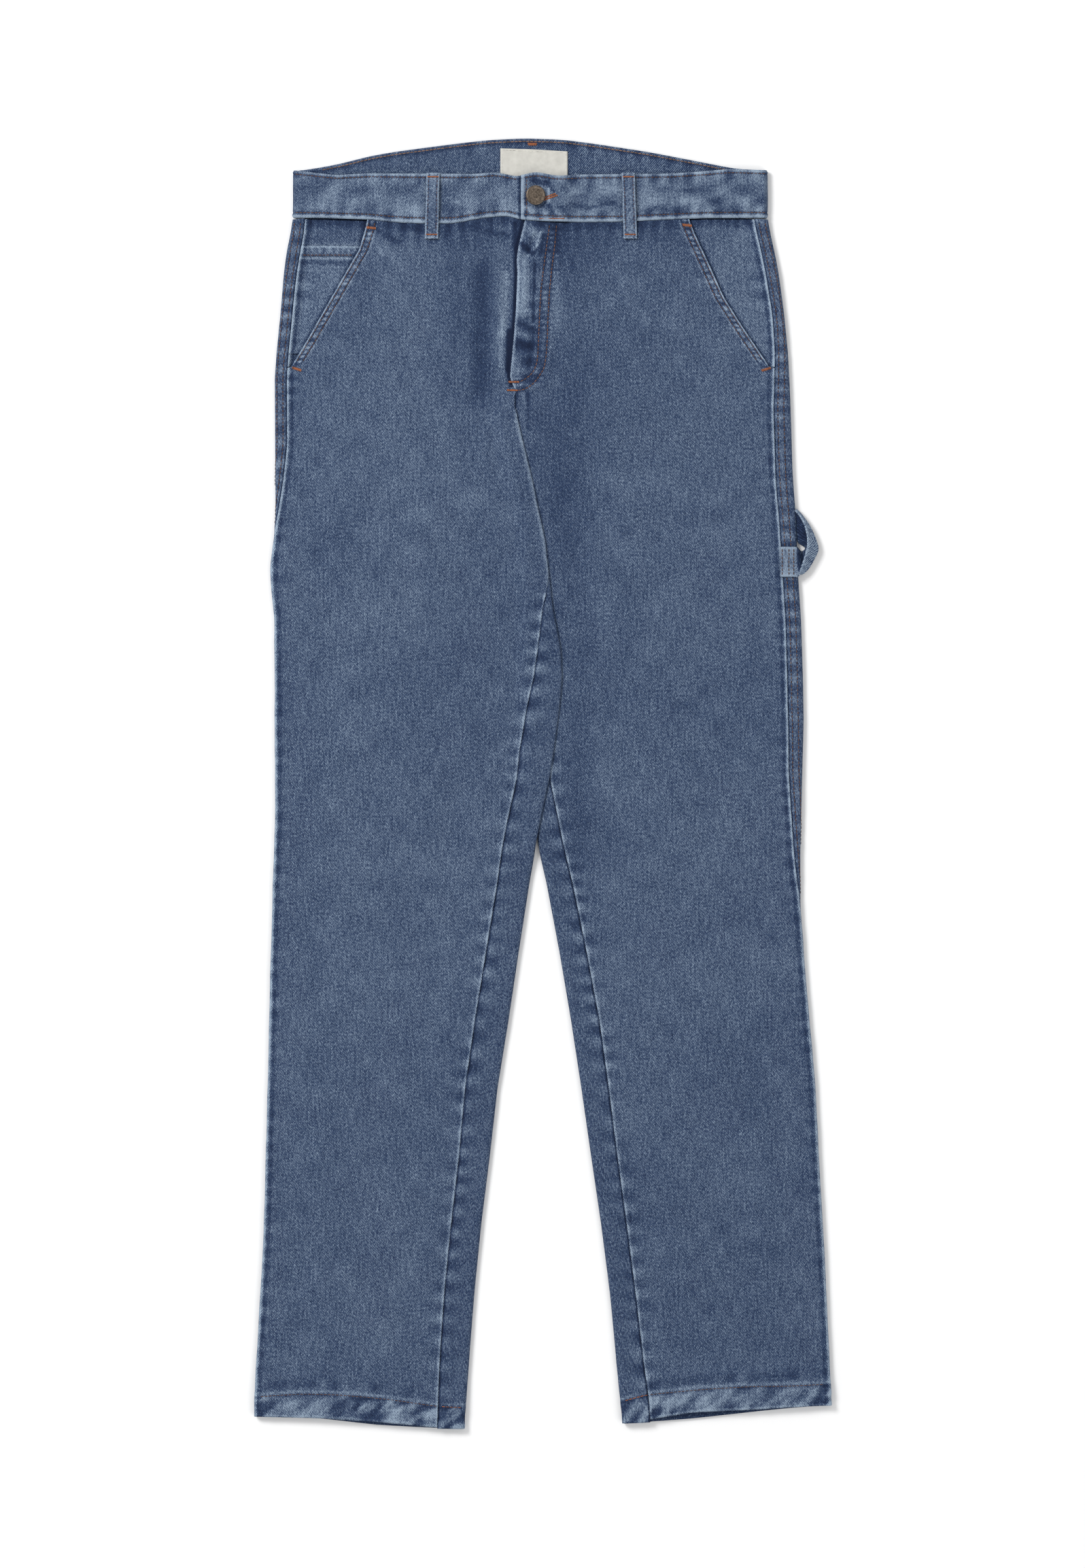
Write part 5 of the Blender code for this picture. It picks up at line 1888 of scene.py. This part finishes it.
@dataclass(frozen=True)
class Button:
    """The tack button: a dished cap with a rolled rim and a neck.

    Attributes:
        radius, cap, neck: its radius, the cap's thickness and the neck's length.
        tilt: its lean to the wearer's left, in degrees.
        across, down: its middle.
        lift: the cap's middle above the waistband, before the lean.
        face_steps, back_steps: inset and rise of each ring of the cap's two faces.
    """

    radius: float = 8.4
    cap: float = 1.6
    neck: float = 1.7
    tilt: float = 14.0
    across: float = -5.9
    down: float = 50.4
    lift: float = 2.9
    face_steps: tuple = ((0.7, 0.35), (0.5, 0.0), (0.6, -0.45), (2.4, -0.05), (0.5, 0.25),
                         (1.8, 0.15))
    back_steps: tuple = ((0.6, -0.25), (4.6, 0.1))

    def build(self, metal: bpy.types.Material) -> bpy.types.Object:
        """The button, from a cylinder inset ring by ring.

        Args:
            metal: its finish.

        Returns:
            The piece.
        """
        bpy.ops.mesh.primitive_cylinder_add(vertices=64, radius=self.radius * MM,
                                            depth=self.cap * MM, end_fill_type="NGON")
        made = bpy.context.object
        made.name = made.data.name = "button_cap"
        bpy.ops.object.mode_set(mode="EDIT")
        bpy.ops.mesh.select_mode(type="FACE")
        for side, steps in ((1, self.face_steps), (-1, self.back_steps)):
            for inset, lift in steps:
                self.pick(made, side)
                bpy.ops.mesh.inset(thickness=inset * MM, depth=0)
                bpy.ops.transform.translate(value=(0, 0, lift * MM))
        self.pick(made, -1)
        stretch = {"value": (0, 0, -self.neck * MM)}
        bpy.ops.mesh.extrude_region_move(TRANSFORM_OT_translate=stretch)
        bpy.ops.mesh.select_all(action="SELECT")
        bpy.ops.mesh.normals_make_consistent(inside=False)
        bpy.ops.object.mode_set(mode="OBJECT")
        made.data.shade_smooth()
        tilt = math.radians(self.tilt)
        base = float(BAND.top(np.array(self.across))) + SEWN_GAP + 3.0 * math.sin(tilt)
        made.rotation_euler = (0, tilt, 0)
        made.location = (self.across * MM, (HALF_LENGTH - self.down) * MM,
                         (base + self.lift) * MM)
        bpy.ops.object.transform_apply(location=True, rotation=True, scale=True)
        made.data.materials.clear()
        made.data.materials.append(metal)
        LOG.info("button_cap: %d faces", len(made.data.polygons))
        return made

    @staticmethod
    def pick(made: bpy.types.Object, side: int) -> None:
        """Selects the round face at one end, in edit mode: 1 the front, -1 the back.

        Args:
            made: the piece.
            side: 1 the front, -1 the back.
        """
        work = bmesh.from_edit_mesh(made.data)
        for face in work.faces:
            face.select_set(side * face.normal.z > 0.9 and len(face.verts) == 64)
        bmesh.update_edit_mesh(made.data)


Colour = Sequence[float]
Socket = bpy.types.NodeSocket


class Graph:
    """A tree of shader nodes, with short ways to add to it."""

    def __init__(self, tree: bpy.types.NodeTree) -> None:
        """Args: tree: the material's or the group's tree."""
        self.tree = tree

    def set(self, node: bpy.types.Node, **inputs: object) -> None:
        """Sets or links a node's inputs by name, with _ for a space."""
        for name, value in inputs.items():
            self.feed(node.inputs[name.replace("_", " ")], value)

    def feed(self, socket: Socket, value: object) -> None:
        """Links a socket to another, or gives it a value."""
        if isinstance(value, bpy.types.NodeSocket):
            self.tree.links.new(value, socket)
        else:
            socket.default_value = value

    def add(self, kind: str, **inputs: object) -> bpy.types.Node:
        """Adds a node and sets or links its inputs.

        Args:
            kind: the node's type, without its first word.
            inputs: a value or a socket for each named input.

        Returns:
            The node.
        """
        made = self.tree.nodes.new(f"ShaderNode{kind}")
        self.set(made, **inputs)
        return made

    def math(self, operation: str, *values: object) -> Socket:
        """Adds a Math node.

        Args:
            operation: its operation.
            values: a number or a socket for each input, in order.

        Returns:
            Its output.
        """
        made = self.add("Math")
        made.operation = operation
        for socket, value in zip(made.inputs, values):
            self.feed(socket, value)
        return made.outputs[0]

    def attribute(self, name: str) -> Socket:
        """The value of a mesh attribute."""
        made = self.add("Attribute")
        made.attribute_name = name
        return made.outputs["Fac"]

    def cloth_place(self) -> Socket:
        """The place on the cut of cloth, in metres."""
        made = self.add("UVMap")
        made.uv_map = "Cloth"
        return made.outputs["UV"]

    def ramp(self, value: Socket, *stops: tuple[float, Colour]) -> Socket:
        """Adds a colour ramp.

        Args:
            value: what it reads.
            stops: place and linear colour of each stop, rising.

        Returns:
            Its colour.
        """
        made = self.add("ValToRGB", Fac=value)
        elements = made.color_ramp.elements
        for index, (place, colour) in ((0, stops[0]), (1, stops[-1])):
            elements[index].position = place
            elements[index].color = (*colour, 1)
        for place, colour in stops[1:-1]:
            elements.new(place).color = (*colour, 1)
        return made.outputs["Color"]


def start_material(name: str) -> tuple[bpy.types.Material, Graph, bpy.types.Node]:
    """A new material.

    Args:
        name: its name.

    Returns:
        The material, its graph and its shader.
    """
    material = bpy.data.materials.new(name)
    material.use_nodes = True
    shader = material.node_tree.nodes["Principled BSDF"]
    return material, Graph(material.node_tree), shader


class Groups:
    """Node groups shared by the denims."""

    def __init__(self) -> None:
        """Makes both groups."""
        self.twill = self.make_twill()
        self.mottle = self.make_mottle()

    @staticmethod
    def start(name: str, outputs: Sequence[str]) -> tuple[Graph, Socket, bpy.types.Node]:
        """An empty group that takes a place and gives plain values.

        Args:
            name: the group's name.
            outputs: names of its values.

        Returns:
            Its graph, the place that it is given and its output node.
        """
        tree = bpy.data.node_groups.new(name, "ShaderNodeTree")
        tree.interface.new_socket("Place", in_out="INPUT", socket_type="NodeSocketVector")
        for output in outputs:
            tree.interface.new_socket(output, in_out="OUTPUT", socket_type="NodeSocketFloat")
        entry = tree.nodes.new("NodeGroupInput")
        return Graph(tree), entry.outputs["Place"], tree.nodes.new("NodeGroupOutput")

    def make_twill(self) -> bpy.types.NodeTree:
        """Diagonal ribs of a 3x1 twill, broken by uneven threads.

        Returns:
            The group.
        """
        graph, place, leave = self.start("denim_twill", ("Rib", "Fleck"))
        lean = (0, 0, -math.radians(TWILL_LEAN))
        turned = graph.add("Mapping", Vector=place, Rotation=lean).outputs["Vector"]
        wobble = graph.add("TexNoise", Vector=turned, Scale=420, Detail=1).outputs["Fac"]
        along = graph.add("SeparateXYZ", Vector=turned).outputs["X"]
        phase = graph.math("MULTIPLY", wobble, 5.0)
        wave = graph.math("MULTIPLY_ADD", along, 2 * math.pi / TWILL_PITCH, phase)
        rib = graph.add("MapRange", Value=graph.math("SINE", wave), From_Min=-1)
        stretched = graph.add("Mapping", Vector=place, Rotation=lean, Scale=(1500, 560, 500))
        fleck = graph.add("TexNoise", Vector=stretched.outputs["Vector"], Scale=1.0, Detail=2)
        graph.set(leave, Rib=rib.outputs["Result"], Fleck=fleck.outputs["Fac"])
        return graph.tree

    def make_mottle(self) -> bpy.types.NodeTree:
        """Uneven dye: fine grain, upright slubs and soft patches.

        Returns:
            The group.
        """
        scales = {"Grain": (560, 480, 500), "Slub": (560, 60, 60), "Patch": (48, 36, 40)}
        graph, place, leave = self.start("denim_mottle", tuple(scales))
        for name, scale in scales.items():
            stretched = graph.add("Mapping", Vector=place, Scale=scale).outputs["Vector"]
            texture = graph.add("TexNoise", Vector=stretched, Scale=1.0, Detail=3)
            graph.feed(leave.inputs[name], texture.outputs["Fac"])
        return graph.tree


@dataclass(frozen=True)
class DenimFinish:
    """A denim, from dark to worn-pale; its darkest and palest parts include painted shade and
    highlight.

    Attributes:
        name: the material's name.
        offset: how much paler than the legs it is.
        dark, middle, pale: linear colours of its three shades.
        roughness: the shader's roughness.
    """

    name: str
    offset: float = 0.0
    dark: Colour = (0.009, 0.016, 0.042)
    middle: Colour = (0.030, 0.054, 0.116)
    pale: Colour = (0.300, 0.380, 0.480)
    roughness: float = 0.88

    def build(self, groups: Groups) -> bpy.types.Material:
        """The material, from the cloth's UV map and its attribute of wash and painted shading.

        Args:
            groups: the shared node groups.

        Returns:
            The material.
        """
        material, graph, shader = start_material(self.name)
        place = graph.cloth_place()
        twill, mottle = graph.add("Group"), graph.add("Group")
        twill.node_tree, mottle.node_tree = groups.twill, groups.mottle
        graph.set(twill, Place=place)
        graph.set(mottle, Place=place)
        # The attribute holds the wash and the painted shade and highlights.
        total = graph.math("MULTIPLY_ADD", graph.attribute("wash_and_shading"), 0.58, 0.5 + self.offset)
        for group, name, weight in ((twill, "Rib", 0.36), (twill, "Fleck", 0.95),
                                    (mottle, "Grain", 0.62), (mottle, "Slub", 0.40),
                                    (mottle, "Patch", 0.12)):
            centred = graph.math("MULTIPLY_ADD", group.outputs[name], weight, -weight / 2)
            total = graph.math("ADD", total, centred)
        shade = graph.ramp(total, (0.06, self.dark), (0.5, self.middle), (1.0, self.pale))
        relief = graph.math("MULTIPLY_ADD", twill.outputs["Rib"], 0.8, mottle.outputs["Grain"])
        raised = graph.add("Bump", Strength=0.5, Distance=0.0004, Height=relief)
        graph.set(shader, Base_Color=shade, Normal=raised.outputs["Normal"],
                  Roughness=self.roughness, Specular_IOR_Level=0.12, Sheen_Weight=0.03,
                  Sheen_Roughness=0.5)
        return material


@dataclass(frozen=True)
class ThreadFinish:
    """Twisted thread, each stitch a little lighter or darker.

    Attributes:
        thread: the thread.
        dark, bright: its darkest and brightest shade, as shares of its colour.
    """

    thread: Thread
    dark: float = 0.45
    bright: float = 1.35

    def build(self) -> bpy.types.Material:
        """The material, from each stitch's tint and fine fibres.

        Returns:
            The material.
        """
        material, graph, shader = start_material(f"thread_{self.thread.name.lower()}")
        place = graph.add("TexCoord").outputs["Object"]
        fibre = graph.add("TexNoise", Vector=place, Scale=2600).outputs["Fac"]
        value = graph.math("MULTIPLY_ADD", fibre, 0.6, graph.attribute("tint"))
        dark = [share * self.dark for share in self.thread.value]
        bright = [min(1, share * self.bright) for share in self.thread.value]
        shade = graph.ramp(value, (0.2, dark), (1.3 / 1.6, bright))
        graph.set(shader, Base_Color=shade, Roughness=0.7)
        return material


@dataclass(frozen=True)
class LabelFinish:
    """Cream plain weave, between two linear colours."""

    dark: Colour = (0.50, 0.49, 0.45)
    pale: Colour = (0.60, 0.59, 0.545)

    def build(self) -> bpy.types.Material:
        """The material, from the patch's UV map.

        Returns:
            The material.
        """
        material, graph, shader = start_material("label_weave")
        place = graph.cloth_place()
        weave = graph.add("TexChecker", Vector=place, Scale=2200).outputs["Fac"]
        cloud = graph.add("TexNoise", Vector=place, Scale=180, Detail=4).outputs["Fac"]
        shade = graph.ramp(cloud, (0.3, self.dark), (0.7, self.pale))
        raised = graph.add("Bump", Strength=0.4, Distance=0.0002, Height=weave)
        graph.set(shader, Base_Color=shade, Normal=raised.outputs["Normal"], Roughness=0.8)
        return material


@dataclass(frozen=True)
class BrassFinish:
    """Dark antique brass, rubbed bright in places, between two linear colours."""

    dark: Colour = (0.075, 0.058, 0.046)
    bright: Colour = (0.26, 0.21, 0.165)

    def build(self) -> bpy.types.Material:
        """The material, clouded in the object's own space.

        Returns:
            The material.
        """
        material, graph, shader = start_material("antique_brass")
        place = graph.add("TexCoord").outputs["Object"]
        cloud = graph.add("TexNoise", Vector=place, Scale=700, Detail=5).outputs["Fac"]
        shade = graph.ramp(cloud, (0.3, self.dark), (0.75, self.bright))
        rough = graph.add("MapRange", Value=cloud, To_Min=0.30, To_Max=0.55)
        graph.set(shader, Base_Color=shade, Roughness=rough.outputs["Result"], Metallic=0.85)
        return material


@dataclass(frozen=True)
class Lamp:
    """A square area lamp aimed at the floor's middle, in metres and watts."""

    name: str
    place: tuple[float, float, float]
    size: float
    power: float

    def build(self) -> None:
        """Adds the lamp."""
        light = bpy.data.lights.new(self.name, "AREA")
        light.energy, light.size = self.power, self.size
        lamp = bpy.data.objects.new(self.name, light)
        lamp.location = self.place
        x, y, z = -np.array(self.place) / np.linalg.norm(self.place)
        lamp.rotation_euler = (math.acos(-z), 0.0, math.atan2(-x, y))
        bpy.context.scene.collection.objects.link(lamp)


@dataclass(frozen=True)
class Studio:
    """Pale floor, soft light from the upper left and the camera straight above.

    Attributes:
        floor_size, floor_height: the floor's side and height, in metres.
        floor_colour: its linear colour.
        glow: strength of the light from all round.
        distance, sensor: the camera's height in metres and its sensor in mm.
        lamps: the area lamps.
    """

    floor_size: float = 14.0
    floor_height: float = -0.0006
    floor_colour: Colour = (0.93, 0.93, 0.93)
    glow: float = 0.58
    distance: float = 4.0
    sensor: float = 36.0
    lamps: tuple[Lamp, ...] = (
        Lamp("key", (-2.6, 2.0, 3.2), 1.6, 150.0),
        Lamp("fill", (2.4, -2.2, 3.4), 2.6, 40.0),
    )

    def build(self) -> None:
        """Makes the floor, the light and the camera."""
        self.lay_floor()
        self.light_round()
        for lamp in self.lamps:
            lamp.build()
        self.place_camera()

    def lay_floor(self) -> None:
        """The floor."""
        material, graph, shader = start_material("floor_white")
        graph.set(shader, Base_Color=(*self.floor_colour, 1), Roughness=0.95,
                  Specular_IOR_Level=0.0)
        bpy.ops.mesh.primitive_plane_add(size=self.floor_size,
                                         location=(0, 0, self.floor_height))
        floor = bpy.context.object
        floor.name = "floor"
        floor.data.materials.append(material)

    def light_round(self) -> None:
        """White light from all round."""
        surround = bpy.data.worlds.new("studio")
        bpy.context.scene.world = surround
        surround.use_nodes = True
        glow = surround.node_tree.nodes["Background"]
        glow.inputs["Color"].default_value = (1.0, 1.0, 1.0, 1)
        glow.inputs["Strength"].default_value = self.glow

    def place_camera(self) -> None:
        """A long lens straight above, with plain colours."""
        scene = bpy.context.scene
        view = bpy.data.cameras.new("camera")
        view.sensor_width = self.sensor
        view.lens = self.sensor * self.distance / (VIEW_LENGTH * MM)
        view.clip_start, view.clip_end = 0.05, 50
        camera = bpy.data.objects.new("camera", view)
        camera.location = (0.0, (HALF_LENGTH - VIEW_CENTRE) * MM, self.distance)
        scene.collection.objects.link(camera)
        scene.camera = camera
        scene.view_settings.view_transform = "Standard"
        scene.view_settings.look = "None"


class Cut(NamedTuple):
    """Flat size of a sheet in metres, and its area where it isn't a rectangle."""

    width: float
    length: float
    area: float | None = None


POCKET_LAYERS = (
    PocketLayer("pocket_facing_right", RIGHT, 70.2, 197.2, 0.6, 2.6, 0.20),
    PocketLayer("pocket_facing_left", LEFT, 70.2, 197.2, 0.2, 1.5, 0.08),
    PocketLayer("coin_pocket", RIGHT, 92.8, 186.0, -0.8, 1.5, 0.12, has_lip=True),
)


def build_pieces() -> dict[str, bpy.types.Object]:
    """Every piece but the threads, by the node that it stands for.

    Returns:
        The pieces.
    """
    groups = Groups()
    leg_denim = DenimFinish("denim_leg").build(groups)
    back_denim = DenimFinish("denim_back", offset=-0.01).build(groups)
    band_denim = DenimFinish("denim_waistband").build(groups)
    trim_denim = DenimFinish("denim_trim", offset=0.03).build(groups)
    legs = LegPanels(RIGHT), LegPanels(LEFT)
    pieces = {f"front_{panels.leg.name}": panels.build_front(leg_denim) for panels in legs}
    for panels in legs:
        pieces[f"back_{panels.leg.name}"] = panels.build_back(back_denim)
    for layer in POCKET_LAYERS:
        pieces[layer.name] = layer.build(trim_denim)
    pieces["waistband"] = BAND.build(band_denim)
    for loop in BELT_LOOPS:
        pieces[loop.name] = loop.build(trim_denim)
    pieces["hammer_loop"] = HammerLoop().build(trim_denim)
    pieces["label"] = Label().build(LabelFinish().build())
    pieces["button"] = Button().build(BrassFinish().build())
    return pieces


def main() -> None:
    """Builds the dressed garment."""
    logging.basicConfig(level=logging.INFO, format="%(message)s")
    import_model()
    pieces = build_pieces()
    for name, piece in pieces.items():
        dress(piece, name, name)
    sewing = Sewing()
    leg_stitching(sewing)
    waist_stitching(sewing)
    for piece in sewing.build({thread: ThreadFinish(thread).build() for thread in Thread}):
        dress(piece, "front_right")
    Studio().build()


if __name__ == "__main__":
    main()
